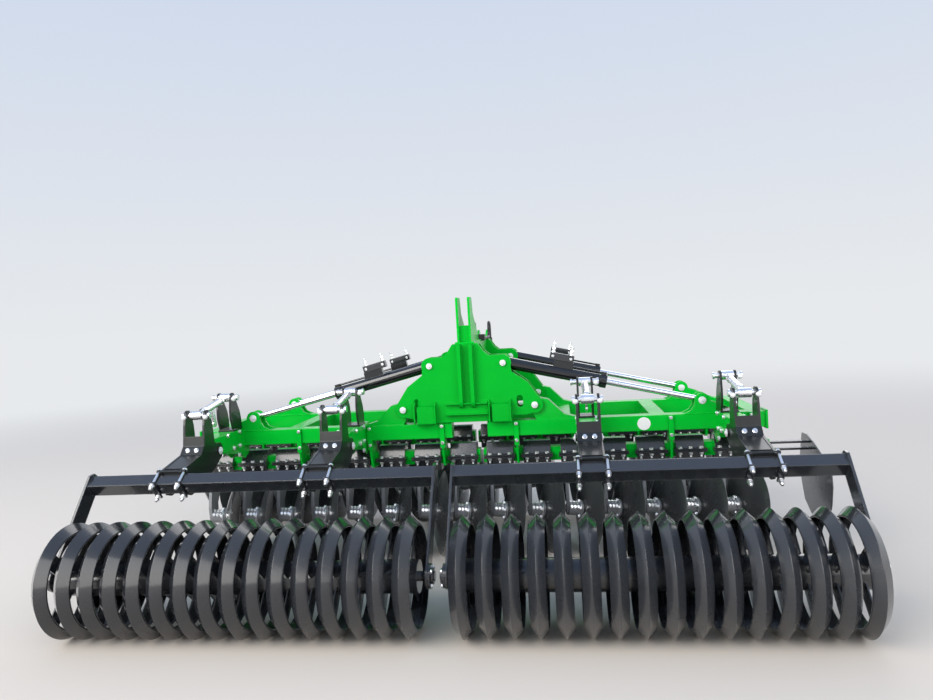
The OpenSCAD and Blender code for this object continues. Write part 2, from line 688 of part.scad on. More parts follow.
// Flanged bearing, on the outer face of an end plate
module bearing() {
    rotate([0, -90, 0]) {
        cylinder(r = bearing_r, h = bearing_t / 2, $fn = 48);
        cylinder(r = bearing_r * 0.62, h = bearing_t, $fn = 48);
    }
}
module end_plate(x, out) {
    dy = roller_beam_y;
    dz = roller_beam_z - axle_z;
    l = norm([dy, dz]);
    difference() {
        union() {
            plate_along(x, end_plate_t) translate([0, axle_z]) rotate(atan2(dz, dy)) {
                circle(r = end_plate_w / 2 + 14, $fn = 64);
                polygon([[0, -end_plate_w / 2], [l + plate_over, -end_plate_w / 2],
                    [l + plate_over, end_plate_w / 2 - 30], [l + plate_over - 30, end_plate_w / 2],
                    [0, end_plate_w / 2]]);
            }
            translate([out < 0 ? x : x + end_plate_t, 0, axle_z]) mirror([out < 0 ? 0 : 1, 0, 0]) bearing();
        }
        rod_x(x - bearing_t - 10, 0, axle_z, stub_r + run, end_plate_t + 2 * bearing_t + 20);
    }
}
module at_beam() translate([0, roller_beam_y, roller_beam_z]) rotate([roller_beam_tilt, 0, 0]) children();
module roller_frame(side) color(black) translate([-roller_shift, 0, 0]) on_side(side) {
    at_beam() translate([roller_x0, -roller_beam_w / 2, -roller_beam_w / 2])
        cube([roller_x1 - roller_x0, roller_beam_w, roller_beam_w]);
    end_plate(roller_x0, -1);
    end_plate(roller_x1 - end_plate_t, 1);
}

// Arms from the wing to the roller frame, with the ears at both ends of a spindle
spindle_a = [700, 1085];
spindle_b = [1105, 1150];
spindle_ear_r = 34;
ear_b = 45;
ear_b_t = 12;
clamp_t = 14;
clamp_over = 20;
module roller_arm_outline() {
    a = spindle_a;
    r = spindle_ear_r;
    polygon(concat(
        [[roller_beam_y - 8, roller_beam_z + 72], [roller_beam_y + 70, roller_beam_z + 88],
            [590, 858], [632, 905], [642, 965], [652, 1030]],
        arc_at(a, r, 168, 12, 12),
        [[756, 1020], [762, 955], [768, 905], [790, 892]],
        arc_at(arm_pin, 54, 92, -80, 10),
        [[760, 742], [620, 690], [520, 652], [roller_beam_y + 92, roller_beam_z - 92],
            [roller_beam_y + 50, roller_beam_z - 78]]));
}
module roller_arm(x) {
    half = bracket_w / 2 + 1;
    difference() {
        for (e = [0, 1]) translate([x, 0, 0]) mirror([e, 0, 0])
            plate_along(half, roller_arm_t) roller_arm_outline();
        translate([x, 0, 0]) at_beam()
            cube([4 * bracket_w, roller_beam_w + 2 * clear, roller_beam_w + 2 * clear], center = true);
        rod_x(x - bracket_w, spindle_a[0], spindle_a[1], spindle_pin_r + run, 2 * bracket_w);
    }
    translate([x, 0, 0]) at_beam()
        translate([-clamp_l / 2, roller_beam_w / 2 + clear, -roller_beam_w / 2 - clamp_over])
            cube([clamp_l, clamp_t, roller_beam_w + 2 * clamp_over]);
    plate_along(x - half, 2 * half)
        polygon([[roller_beam_y + 46, roller_beam_z + 80], [590, 856], [632, 903], [642, 962], [655, 960],
            [646, 898], [598, 845], [roller_beam_y + 50, roller_beam_z + 66]]);
    rod_x(x - half - roller_arm_t - 8, arm_pin[0], arm_pin[1], arm_pin_r, 2 * (half + roller_arm_t + 8));
    spindle_ears(x);
}
// Leaf shaped ears that stand on a bracket
module spindle_ears(x) {
    z0 = tube_top_z + bracket_top;
    difference() {
        for (e = [-1, 1]) plate_along(x + e * ear_b - ear_b_t / 2, ear_b_t) {
            polygon(concat([[1206, z0], [1212, z0 + 60], [1194, z0 + 130], [1160, z0 + 186]],
                arc_at(spindle_b, spindle_ear_r - 2, 20, 180, 12),
                [[1058, z0 + 150], [1056, z0 + 90], [1085, z0]]));
        }
        rod_x(x - bracket_w, spindle_b[0], spindle_b[1], spindle_pin_r + run, 2 * bracket_w);
    }
    translate([x - bracket_w / 2, 1075, z0]) cube([bracket_w, 136, ear_b_t]);
}
module roller_arms(side) color(black) on_side(side) for (x = bracket_x) roller_arm(x);

// Spindle from the arm's ears to the bracket's ears, with its sleeve, nuts and lever
eye_out_r = 28;
lever_l = 120;
lever_t = 12;
lever_w = 32;
lever_eye_r = 22;
sleeve_end = 100;
nut_t = 18;
nut_gap = 4;
knob_t = 12;
module spindle(x) {
    d = spindle_b - spindle_a;
    l = norm(d);
    eye_l = 2 * (ear_b - ear_b_t / 2 - 2);
    translate([x, spindle_a[0], spindle_a[1]]) rotate([atan2(d[1], d[0]), 0, 0]) {
        rotate([-90, 0, 0]) {
            cylinder(r = sleeve_r * 0.6, h = l, $fn = 32);
            translate([0, 0, sleeve_end]) cylinder(r = sleeve_r, h = l - 2 * sleeve_end, $fn = 32);
            for (z = [sleeve_end - nut_gap - nut_t, l - sleeve_end + nut_gap])
                translate([0, 0, z]) cylinder(r = sleeve_r + 6, h = nut_t, $fn = 6);
        }
        translate([-lever_t / 2, (l - lever_w) / 2, -lever_l]) cube([lever_t, lever_w, lever_l]);
        translate([-lever_t / 2, l / 2, -lever_l]) rotate([0, 90, 0])
            cylinder(r = lever_eye_r, h = lever_t, $fn = 40);
    }
    for (p = [spindle_a, spindle_b]) {
        rod_x(x - eye_l / 2, p[0], p[1], eye_out_r, eye_l);
        rod_x(x - spindle_pin_l / 2, p[0], p[1], spindle_pin_r, spindle_pin_l);
        for (e = [-1, 1]) rod_x(x + e * (spindle_pin_l - knob_t) / 2 - knob_t / 2, p[0], p[1],
            spindle_pin_r + 5, knob_t);
    }
}
module spindles(side) color(zinc) on_side(side) for (x = bracket_x) spindle(x);

// Cylinders, lying along the line from tower pin to wing pin
gland_l = 42;
gland_over = 5;
port_x = 330;
port_l = 130;
port_h = 40;
pipe_r = 7;
bore_start = 120;
rod_tip = 110;
rod_grip = 60;
module at_ram(side, row) on_side(side)
    translate([ram_x, row == "rear" ? rear_y : front_y, ram_z]) rotate([0, ram_angle, 0]) children();
module barrel(side, row) color(black) at_ram(side, row) {
    difference() {
        union() {
            rod_x(eye_r - 6, 0, 0, barrel_r, barrel_l - eye_r + 6);
            rod_x(barrel_l - gland_l, 0, 0, barrel_r + gland_over, gland_l);
            rod_y(0, -eye_w / 2, 0, eye_r, eye_w);
            translate([port_x, -port_h / 2, barrel_r - 8]) cube([port_l, port_h, port_h + 8]);
            translate([barrel_l - gland_l, -port_h / 2, barrel_r - 8])
                cube([gland_l - 8, port_h, port_h * 0.7]);
            rod_x(port_x + port_l - 4, 0, barrel_r + pipe_r + 4, pipe_r,
                barrel_l - gland_l - port_x - port_l + 8);
        }
        rod_y(0, -eye_w, 0, ram_pin_r + run, 2 * eye_w);
        rod_x(bore_start, 0, 0, barrel_bore_r, barrel_l - bore_start - gland_l);
        rod_x(rod_tip, 0, 0, rod_r + run, barrel_l);
    }
}
module rod(side, row) color(chrome) at_ram(side, row) {
    rod_x(barrel_l - rod_grip, 0, 0, rod_r, ram_open - barrel_l + rod_grip - eye_r + 6);
    rod_y(ram_open, -eye_w / 2, 0, eye_r, eye_w);
}

// Side plate beside the right rear row's end, on two bars
shield_bar = 14;
shield_bar_w = 40;
module side_plate() color(black) {
    x0 = row_x("right", "rear");
    x1 = x0 + shield_gap;
    y = row_y("rear");
    for (z = [disc_beam_z + 10, disc_beam_z - 34])
        translate([x0, y - shield_bar_w / 2, z]) cube([shield_gap + weld, shield_bar_w, shield_bar]);
    plate_along(x1, shield_t)
        polygon([[y + 110, 712], [y + 20, 716], [y - 80, 690], [y - 330, 600], [y - 400, 545], [y - 410, 470],
            [y - 385, 350], [y - 330, 240], [y - 250, 190], [y - 60, 190], [y + 90, 270], [y + 150, 400],
            [y + 160, 560]]);
}

// Hoses from the mast's couplings, in a loop back to a valve block on the tower's webs
hose_r = 11;
hose_loop = 46;
valve_y = [1690, 1752];
valve_h = 46;
valve_over = 24;
coupling_back = 20;
coupling_front = hose_r + 0.5;
coupling_h = 36;
hose_start = [mast_y - 24, mast_z - 30];
hose_rise = 100;
hose_bend = 40;
hose_rest_z = top_z + hose_r + 0.1;
hose_lap = 4;
// Bend of a hose in the plane of Y and Z, from one angle to another about its middle
module hose_arc(r, a0, a1) {
    rotate([90, 0, 90]) rotate([0, 0, a0 - hose_lap]) rotate_extrude(angle = a1 - a0 + 2 * hose_lap, $fn = 64)
        translate([r, 0]) circle(r = hose_r - 0.5, $fn = 24);
}
module hose(x) {
    back = hose_start[0] - 2 * hose_loop;
    top = hose_start[1] + hose_rise;
    low = hose_rest_z + hose_bend;
    translate([x, hose_start[0], hose_start[1]]) cylinder(r = hose_r, h = hose_rise, $fn = 24);
    translate([x, hose_start[0] - hose_loop, top]) hose_arc(hose_loop, 0, 180);
    translate([x, back, low]) cylinder(r = hose_r, h = top - low, $fn = 24);
    translate([x, back - hose_bend, low]) hose_arc(hose_bend, -90, 0);
    rod_y(x, valve_y[1] - 6, hose_rest_z, hose_r, back - hose_bend - valve_y[1] + 6);
}
module hoses() color(black) {
    for (m = [-1, 1]) {
        hose(m * web_x);
        translate([m > 0 ? clevis_x + mast_t / 2 : -web_x - 16, hose_start[0] - coupling_back,
            hose_start[1] - coupling_h / 2])
            cube([web_x + 16 - clevis_x - mast_t / 2, coupling_back + coupling_front, coupling_h]);
    }
    translate([-web_x - valve_over, valve_y[0], top_z])
        cube([2 * (web_x + valve_over), valve_y[1] - valve_y[0], valve_h]);
}

in_frame() tower();
in_frame() rear_mast();
in_frame() headstock();
for (s = SIDES) {
    in_frame() wing_frame(s[0]);
    in_frame() row_beams(s[0]);
    in_frame() clamp_housings(s[0]);
    in_frame() disc_arms(s[0]);
    in_frame() roller_frame(s[0]);
    in_frame() roller_arms(s[0]);
    in_frame() spindles(s[0]);
    in_frame() roller(s[0]);
}
in_frame() side_plate();  // side_plate_right
in_frame() hoses();
for (s = SIDES) for (r = ROWS) {
    in_frame() barrel(s[0], r[0]);
    in_frame() rod(s[0], r[0]);
}
for (s = SIDES) for (r = ROWS) for (k = [1:count_of(s[0], r[0])])
    in_frame() disc(s[0], r[0], k - 1);
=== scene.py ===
"""Looks of a mounted disc harrow with two folding wings: paint, plating, rubber, fasteners and fittings.

Every length is in metres. X is to the right as seen from behind, Y is forward and Z is up. The pieces are
worked out with X from the centre line, Y from the roller axle and Z from the ground, and are then shifted to
the construction model's own places, whose origin is the top link pin.
"""

import json
import logging
import math
from collections.abc import Sequence
from dataclasses import dataclass, field, replace
from enum import Enum

import bpy
import numpy as np
from mathutils import Matrix, Vector


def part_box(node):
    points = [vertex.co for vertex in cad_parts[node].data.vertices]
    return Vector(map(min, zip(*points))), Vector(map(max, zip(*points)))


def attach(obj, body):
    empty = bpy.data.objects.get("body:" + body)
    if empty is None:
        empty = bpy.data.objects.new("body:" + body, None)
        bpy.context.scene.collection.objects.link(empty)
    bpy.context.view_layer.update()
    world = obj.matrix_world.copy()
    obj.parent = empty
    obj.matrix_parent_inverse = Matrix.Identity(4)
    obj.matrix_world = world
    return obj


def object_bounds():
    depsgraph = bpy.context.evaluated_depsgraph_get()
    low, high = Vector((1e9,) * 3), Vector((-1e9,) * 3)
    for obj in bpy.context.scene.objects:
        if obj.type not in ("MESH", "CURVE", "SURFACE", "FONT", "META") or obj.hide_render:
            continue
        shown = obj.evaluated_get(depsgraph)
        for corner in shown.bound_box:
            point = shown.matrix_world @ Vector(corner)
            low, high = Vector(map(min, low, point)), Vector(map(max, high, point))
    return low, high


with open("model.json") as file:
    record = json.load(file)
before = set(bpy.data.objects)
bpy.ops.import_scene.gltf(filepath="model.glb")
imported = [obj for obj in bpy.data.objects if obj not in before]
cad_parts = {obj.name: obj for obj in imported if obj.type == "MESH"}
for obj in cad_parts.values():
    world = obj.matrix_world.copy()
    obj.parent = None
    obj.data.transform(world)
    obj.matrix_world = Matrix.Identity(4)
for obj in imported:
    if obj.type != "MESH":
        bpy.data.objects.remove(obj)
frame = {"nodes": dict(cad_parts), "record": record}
CAD_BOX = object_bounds()

LOG = logging.getLogger("disc_harrow")
Colour = tuple[float, float, float]
Point = tuple[float, float, float]
Profile = Sequence[tuple[float, float]]
Points = Sequence[Point] | Point
Feeds = dict[str | int, object]

# The machine's own directions, and both ways along any of them.
RIGHT, FORWARD, UP = np.eye(3)
BOTH = (-1.0, 1.0)


def oblong(half_x: float, half_y: float) -> Profile:
    """Gives the corners of a rectangle about the origin, to the left about Z."""
    return [(-half_x, -half_y), (half_x, -half_y), (half_x, half_y), (-half_x, half_y)]


class Slot(Enum):
    """Material slots of the record."""

    GREEN = "green_paint"
    BLACK = "black_paint"
    ZINC = "zinc"
    CHROME = "chrome"
    ARM = "arm_paint"
    DISC = "disc_steel"
    HOSE = "hose_rubber"


class Finish(Enum):
    """Finishes of single nodes and pieces, in place of their slot's own; two of them are darker copies of a
    slot's paint that stand for painted shade.
    """

    TUBE_GREEN = "tube_green"
    TOWER_GREEN = "tower_green"
    SHADED_SATIN_BLACK = "shaded_satin_black"
    DEEP_BLACK = "deep_black"
    BEAM_BLACK = "beam_black"
    BRIGHT_CAP = "bright_cap"
    SIGN_WHITE = "sign_white"


class Place(Enum):
    """Place on the machine, named in the construction model's nodes and bodies."""

    @property
    def word(self) -> str:
        """Name of the place in those nodes and bodies."""
        return self.name.lower()


class Side(Place):
    """Wing of the machine, with the sign of its X."""

    RIGHT = 1
    LEFT = -1


class Row(Place):
    """Row of discs, with the sign of its sideways shift."""

    REAR = 1
    FRONT = -1


def new_group(name: str, inputs: dict[str, object], outputs: dict[str, str]) -> bpy.types.NodeTree:
    """Makes an empty shader node group with named sockets.

    Args:
        name: The group's name.
        inputs: Name and value of each input, which is a colour where the value is a tuple.
        outputs: Name and socket type of each output.

    Returns:
        The node tree with its Group Input and Group Output nodes.
    """
    tree = bpy.data.node_groups.new(name, "ShaderNodeTree")
    for label, value in inputs.items():
        kind = "NodeSocketColor" if isinstance(value, tuple) else "NodeSocketFloat"
        socket = tree.interface.new_socket(name=label, in_out="INPUT", socket_type=kind)
        socket.default_value = value
    for label, kind in outputs.items():
        tree.interface.new_socket(name=label, in_out="OUTPUT", socket_type=kind)
    tree.nodes.new("NodeGroupInput").name = "In"
    tree.nodes.new("NodeGroupOutput").name = "Out"
    return tree


@dataclass(frozen=True)
class Wiring:
    """A node tree, with short ways to add nodes and to feed them."""

    tree: bpy.types.NodeTree

    def feed(self, node: bpy.types.Node, feeds: Feeds) -> None:
        """Feeds the inputs of a node.

        Args:
            node: The node.
            feeds: Name or number of each input, with the output joined to it or the value that it keeps.
        """
        for key, value in feeds.items():
            if isinstance(value, bpy.types.NodeSocket):
                self.tree.links.new(value, node.inputs[key])
            else:
                node.inputs[key].default_value = value

    def add(self, kind: str, feeds: Feeds | None = None, **settings: object) -> bpy.types.Node:
        """Adds a node, sets its properties and feeds its inputs.

        Args:
            kind: The node's type name.
            feeds: Inputs with their outputs or values, as in feed.
            **settings: Properties of the node, such as operation or data_type.

        Returns:
            The new node.
        """
        node = self.tree.nodes.new(kind)
        for key, value in settings.items():
            setattr(node, key, value)
        self.feed(node, feeds or {})
        return node

    def maths(self, operation: str, *values: object, clamp: bool = False) -> bpy.types.NodeSocket:
        """Adds a Math node that works on the values and outputs given, and gives its result."""
        feeds = dict(enumerate(values))
        return self.add("ShaderNodeMath", feeds, operation=operation, use_clamp=clamp).outputs[0]

    def noise(self, place: bpy.types.NodeSocket, scale: object, detail: float) -> bpy.types.NodeSocket:
        """Adds soft noise over the places given, and gives its value."""
        feeds = {"Vector": place, "Scale": scale, "Detail": detail}
        return self.add("ShaderNodeTexNoise", feeds).outputs["Fac"]


def placed(name: str, data: bpy.types.ID) -> bpy.types.Object:
    """Makes an object from its data and puts it in the scene.

    Args:
        name: The object's name.
        data: Its mesh, lamp or camera.

    Returns:
        The object.
    """
    thing = bpy.data.objects.new(name, data)
    bpy.context.scene.collection.objects.link(thing)
    return thing


@dataclass
class Shape:
    """Points and faces of a closed mesh."""

    points: np.ndarray
    quads: np.ndarray
    triangles: np.ndarray


def joined(shapes: list[Shape]) -> Shape:
    """Puts several shapes into one, with their faces renumbered.

    Args:
        shapes: The shapes to join.

    Returns:
        One shape with all points and faces.
    """
    starts = np.cumsum([0] + [len(shape.points) for shape in shapes[:-1]])
    return Shape(
        np.concatenate([shape.points for shape in shapes]),
        np.concatenate([shape.quads + start for shape, start in zip(shapes, starts)]),
        np.concatenate([shape.triangles + start for shape, start in zip(shapes, starts)]),
    )


def closed_rings(grid: np.ndarray, foot: np.ndarray, top: np.ndarray) -> Shape:
    """Joins rings of points to a closed skin.

    Neighbours on a ring and on the next ring make a quad, and each end is a fan round one point.

    Args:
        grid: Points of the rings, rows by sides by 3, turning to the left about the way forward.
        foot: Middle point of the first end.
        top: Middle point of the last end.

    Returns:
        The closed shape.
    """
    rows, sides = grid.shape[:2]
    index = np.arange(rows * sides).reshape(rows, sides)
    after = np.roll(index, -1, axis=1)
    quads = np.stack([index[:-1], after[:-1], after[1:], index[1:]], axis=-1).reshape(-1, 4)
    foot_index, top_index = rows * sides, rows * sides + 1
    foot_fan = np.stack([np.full(sides, foot_index), after[0], index[0]], axis=-1)
    top_fan = np.stack([np.full(sides, top_index), index[-1], after[-1]], axis=-1)
    points = np.concatenate([grid.reshape(-1, 3), foot[None], top[None]])
    return Shape(points, quads, np.concatenate([foot_fan, top_fan]))


def lathe(profile: Profile, sides: int) -> Shape:
    """Turns a profile of radius and height about Z.

    Point (i, j) is (radius_i cos a, radius_i sin a, height_i) with a = 2 pi j / sides. Both ends are closed
    flat at the axis.

    Args:
        profile: Radius and height of each ring, from the foot to the top.
        sides: Points on a ring.

    Returns:
        The closed shape.
    """
    radius, height = np.array(profile).T
    angle = 2 * np.pi * np.arange(sides) / sides
    level = np.repeat(height[:, None], sides, axis=1)
    grid = np.stack([np.outer(radius, np.cos(angle)), np.outer(radius, np.sin(angle)), level], axis=-1)
    return closed_rings(grid, height[0] * UP, height[-1] * UP)


def tube(path: np.ndarray, radius: np.ndarray, side: np.ndarray, sides: int) -> Shape:
    """Carries a round section along a path that lies about in a plane.

    Ring point j at path point i is path_i + radius_i (cos a out_i + sin a across_i), with a = 2 pi j / sides,
    where out is side x tangent and across is tangent x out.

    Args:
        path: Points of the path, n by 3.
        radius: Radius at each point.
        side: Normal of the plane that the path lies in.
        sides: Points on a ring.

    Returns:
        The closed shape.
    """
    tangent = np.gradient(path, axis=0)
    tangent /= np.linalg.norm(tangent, axis=1, keepdims=True)
    out = np.cross(side, tangent)
    out /= np.linalg.norm(out, axis=1, keepdims=True)
    across = np.cross(tangent, out)
    angle = 2 * np.pi * np.arange(sides) / sides
    turn = np.cos(angle)[None, :, None] * out[:, None] + np.sin(angle)[None, :, None] * across[:, None]
    grid = path[:, None] + radius[:, None, None] * turn
    return closed_rings(grid, path[0], path[-1])


def prism(outline: Profile, thickness: float, edge: float) -> Shape:
    """Raises a convex outline to a plate with chamfered edges.

    The rings are the outline, drawn in by the edge at both faces and full between them.

    Args:
        outline: Corners in X and Y, to the left about Z.
        thickness: Height of the plate.
        edge: Width of the chamfer.

    Returns:
        The closed shape, standing on Z = 0.
    """
    corner = np.array(outline)
    middle = corner.mean(axis=0)
    reach = np.linalg.norm(corner - middle, axis=1, keepdims=True)
    drawn = middle + (corner - middle) * (1 - edge / reach)
    levels = [(drawn, 0.0), (corner, edge), (corner, thickness - edge), (drawn, thickness)]
    grid = np.stack([np.column_stack([ring, np.full(len(ring), level)]) for ring, level in levels])
    return closed_rings(grid, np.array([*middle, 0.0]), np.array([*middle, thickness]))


def facing(axes: np.ndarray) -> np.ndarray:
    """Gives turns that carry Z to each axis.

    The first column is square to the axis and to Z, or to X where the axis stands nearly upright.

    Args:
        axes: Directions, n by 3.

    Returns:
        Rotation matrices, n by 3 by 3.
    """
    way = axes / np.linalg.norm(axes, axis=1, keepdims=True)
    upright = np.abs(way[:, 2:]) > 0.9
    helper = np.where(upright, RIGHT, UP)
    first = np.cross(helper, way)
    first /= np.linalg.norm(first, axis=1, keepdims=True)
    return np.stack([first, np.cross(way, first), way], axis=-1)


def stamped(shape: Shape, places: np.ndarray | Points, axes: np.ndarray | Point) -> Shape:
    """Repeats a shape at many places, each copy's Z along its axis.

    Args:
        shape: The shape to repeat.
        places: Origins of the copies, n by 3, or one.
        axes: Direction of each copy, n by 3, or one for all.

    Returns:
        One shape with every copy.
    """
    places = np.atleast_2d(places)
    axes = np.broadcast_to(np.atleast_2d(axes), places.shape)
    points = places[:, None] + np.einsum("nij,pj->npi", facing(axes), shape.points)
    starts = (np.arange(len(places)) * len(shape.points))[:, None, None]
    quads = (shape.quads[None] + starts).reshape(-1, 4)
    triangles = (shape.triangles[None] + starts).reshape(-1, 3)
    return Shape(points.reshape(-1, 3), quads, triangles)


def around(places: np.ndarray, axis: np.ndarray, radius: float, count: int, first: float) -> np.ndarray:
    """Places points evenly on a circle about an axis through each place.

    Args:
        places: Middles of the circles, n by 3, or one.
        axis: Direction that the circles face.
        radius: Radius of the circles.
        count: Points on each circle.
        first: Angle of the first point.

    Returns:
        The points, n times count by 3.
    """
    turn = facing(axis[None])[0]
    angle = first + 2 * np.pi * np.arange(count) / count
    ring = radius * np.stack([np.cos(angle), np.sin(angle), np.zeros(count)], axis=-1) @ turn.T
    return (np.atleast_2d(places)[:, None] + ring).reshape(-1, 3)


def bulge(radius: float, rise: float, level: float, first: float, last: float, count: int) -> Profile:
    """Gives a rounded end's profile: radius cos a wide, level + rise sin a high, a from first to last."""
    bend = np.linspace(first, last, count)
    return list(zip(radius * np.cos(bend), level + rise * np.sin(bend)))


def bevelled_disc(radius: float, high: float, top: float, sides: int) -> Shape:
    """Makes a flat disc whose upper rim is drawn in to the share top of its radius."""
    return lathe([(radius, 0.0), (radius, 0.6 * high), (top * radius, high)], sides)


@dataclass(frozen=True)
class Thread:
    """Hexagon bolt of one thread size, with its washer and nut.

    The heights, the pitch and the root's radius are shares of the thread's diameter.
    """

    d: float
    sides: int = 16
    washer_h: float = 0.16
    head_h: float = 0.66
    nut_h: float = 0.84
    lock_nut_h: float = 0.50
    lock_gap: float = 0.02
    pitch: float = 0.14
    root_r: float = 0.44

    @property
    def corner(self) -> float:
        """Radius over the hexagon's corners, for a width of one and a half threads."""
        return 0.75 * self.d / math.cos(math.pi / 6)

    def washer(self) -> Shape:
        """Makes a flat washer that stands on Z = 0, with both of its rims broken."""
        wide, high = self.d, self.washer_h * self.d
        rims = [(0.97 * wide, 0.0), (wide, 0.3 * high), (wide, 0.8 * high), (0.96 * wide, high)]
        return lathe(rims, self.sides)

    def hexagon(self, foot: float, high: float) -> Shape:
        """Makes a six sided body whose upper corners are cut off."""
        wide = self.corner
        return lathe([(wide, foot), (wide, foot + 0.82 * high), (0.88 * wide, foot + high)], 6)

    def head(self) -> Shape:
        """Makes a bolt's head on its washer."""
        return joined([self.washer(), self.hexagon(self.washer_h * self.d, self.head_h * self.d)])

    def shank(self, length: float) -> Shape:
        """Makes a threaded end with a ridge on each turn.

        The radius swings between the thread's root and crest once in each pitch.

        Args:
            length: Length of the threaded end, from Z = 0.

        Returns:
            The closed shape.
        """
        turns = max(2, round(length / (self.pitch * self.d)))
        step = np.arange(2 * turns + 1)
        radius = np.where(step % 2 == 1, 0.5 * self.d, self.root_r * self.d)
        return lathe(list(zip(radius, np.linspace(0.0, length, len(step)))), self.sides)

    def nut(self, tail: float, lock: bool = False) -> Shape:
        """Makes a washer and nut with the bolt's end standing out.

        Args:
            tail: Length of thread beyond the nut.
            lock: Whether a thinner second nut sits on the first.

        Returns:
            The closed shapes, standing on Z = 0.
        """
        foot, high = self.washer_h * self.d, self.nut_h * self.d
        pieces = [self.washer(), self.hexagon(foot, high)]
        top = foot + high
        if lock:
            thin = self.lock_nut_h * self.d
            pieces.append(self.hexagon(top + self.lock_gap * self.d, thin))
            top += self.lock_gap * self.d + thin
        pieces.append(self.shank(top + tail))
        return joined(pieces)


@dataclass(frozen=True)
class Machine:
    """Sizes and places that the construction model has too."""

    disc_pitch: float = 0.250
    row_shift: float = 0.0625
    disc_d: float = 0.560
    disc_dish: float = 0.062
    gang_angle: float = math.radians(17.0)
    disc_lean: float = math.radians(8.0)
    discs_per_row: int = 8
    rear_y: float = 1.265
    front_y: float = 2.055
    row_out: float = 0.090
    row_z: float = 0.655
    housing_d: float = 0.146
    flange_out: float = 0.032
    flange_t: float = 0.011
    flange_gap: float = 0.003
    arm_back: float = 0.110
    arm_side: float = 0.040
    hub_back: float = 0.026
    hub_r: float = 0.044
    hub_face: float = 0.066
    collar_t: float = 0.014
    face_gap: float = 0.0005
    tube_w: float = 0.100
    tube_z: float = 0.850
    hanger_t: float = 0.014
    tower_w: float = 0.130
    pin_over: float = 0.008
    pivot: tuple[float, float] = (0.443, 1.003)
    pivot_r: float = 0.025
    ram: tuple[float, float] = (0.247, 1.290)
    ram_r: float = 0.0175
    lug: tuple[float, float] = (1.515, 0.985)
    lug_side: float = 0.048
    barrel_r: float = 0.040
    port_x: float = 0.330
    port_l: float = 0.130
    port_h: float = 0.040
    bracket_x: tuple[float, float] = (0.770, 1.650)
    bracket_w: float = 0.110
    roller_arm_t: float = 0.014
    arm_pin: tuple[float, float] = (0.820, 0.838)
    spindle_a: tuple[float, float] = (0.700, 1.085)
    spindle_b: tuple[float, float] = (1.105, 1.150)
    spindle_pin_l: float = 0.180
    beam_w: float = 0.080
    beam_y: float = 0.350
    beam_z: float = 0.735
    beam_tilt: float = math.radians(35.0)
    clamp_t: float = 0.014
    roller_shift: float = 0.045
    roller_x: tuple[float, float] = (0.0435, 2.1135)
    bearing_t: float = 0.026
    ring_r: float = 0.302
    fin_x: float = 0.040
    tower_top: float = 1.428

    def row_y(self, row: Row) -> float:
        """Gives the middle of a row's tube."""
        return self.frame_y(row) + self.row_out

    def frame_y(self, row: Row) -> float:
        """Gives the middle of the wing tube over a row."""
        return self.rear_y if row is Row.REAR else self.front_y

    def housing_x(self, side: Side, row: Row) -> np.ndarray:
        """Gives the sideways places of a row's housings, one disc fewer on the right rear row.

        Args:
            side: The wing.
            row: The row.

        Returns:
            X of each housing, from the inner end of the wing.
        """
        short = side is Side.RIGHT and row is Row.REAR
        count = self.discs_per_row - (1 if short else 0)
        return side.value * self.disc_pitch * (np.arange(count) + 0.5) + row.value * self.row_shift

    def disc_axis(self, row: Row) -> np.ndarray:
        """Gives the axis of a row's discs, out of their hollow side and tipped down by the lean.

        Args:
            row: The row.

        Returns:
            The direction, one long.
        """
        flat = math.cos(self.disc_lean)
        across, along = row.value * flat * math.cos(self.gang_angle), flat * math.sin(self.gang_angle)
        return np.array([across, along, -math.sin(self.disc_lean)])

    def hubs(self, side: Side, row: Row) -> np.ndarray:
        """Gives the middles of a row's hubs.

        The height puts the lowest point of the disc's rim on the ground.

        Args:
            side: The wing.
            row: The row.

        Returns:
            The middles, n by 3.
        """
        x = self.housing_x(side, row) - row.value * self.arm_side
        rim_out = self.hub_face + self.face_gap + self.disc_dish
        z = self.disc_d / 2 * math.cos(self.disc_lean) + rim_out * math.sin(self.disc_lean)
        return np.column_stack([x, np.full(len(x), self.row_y(row) - self.arm_back), np.full(len(x), z)])

    @property
    def ram_way(self) -> np.ndarray:
        """Direction of a right cylinder from the tower's pin to the wing's pin."""
        way = np.array([self.lug[0] - self.ram[0], 0.0, self.lug[1] - self.ram[1]])
        return way / np.linalg.norm(way)

    @property
    def beam_ways(self) -> tuple[np.ndarray, np.ndarray]:
        """Forward and upward directions of the tilted roller tube."""
        cosine, sine = math.cos(self.beam_tilt), math.sin(self.beam_tilt)
        return np.array([0.0, cosine, sine]), np.array([0.0, -sine, cosine])


@dataclass(frozen=True)
class Coating:
    """Values of a sprayed or plated coat."""

    colour: Colour = (0.5, 0.5, 0.5)
    shade: float = 0.10
    roughness: float = 0.30
    metallic: float = 0.0
    coat: float = 0.0
    coat_roughness: float = 0.10
    gloss: float = 0.5
    gloss_tint: Colour = (1.0, 1.0, 1.0)
    patch_scale: float = 6.0
    grain_scale: float = 900.0
    grain: float = 0.05
    dust: float = 0.0
    dust_colour: Colour = (0.42, 0.38, 0.32)
    edge: float = 0.003

    def effect_values(self) -> Feeds:
        """Gives the values that go into the shared effect."""
        return {
            "Colour": (*self.colour, 1.0),
            "Dust colour": (*self.dust_colour, 1.0),
            "Shade": self.shade,
            "Roughness": self.roughness,
            "Patch scale": self.patch_scale,
            "Grain scale": self.grain_scale,
            "Grain": self.grain,
            "Dust": self.dust,
            "Edge": self.edge,
        }

    def shader_values(self) -> Feeds:
        """Gives the values that go straight into the shader."""
        return {
            "Metallic": self.metallic,
            "Coat Weight": self.coat,
            "Coat Roughness": self.coat_roughness,
            "Specular IOR Level": self.gloss,
            "Specular Tint": (*self.gloss_tint, 1.0),
        }


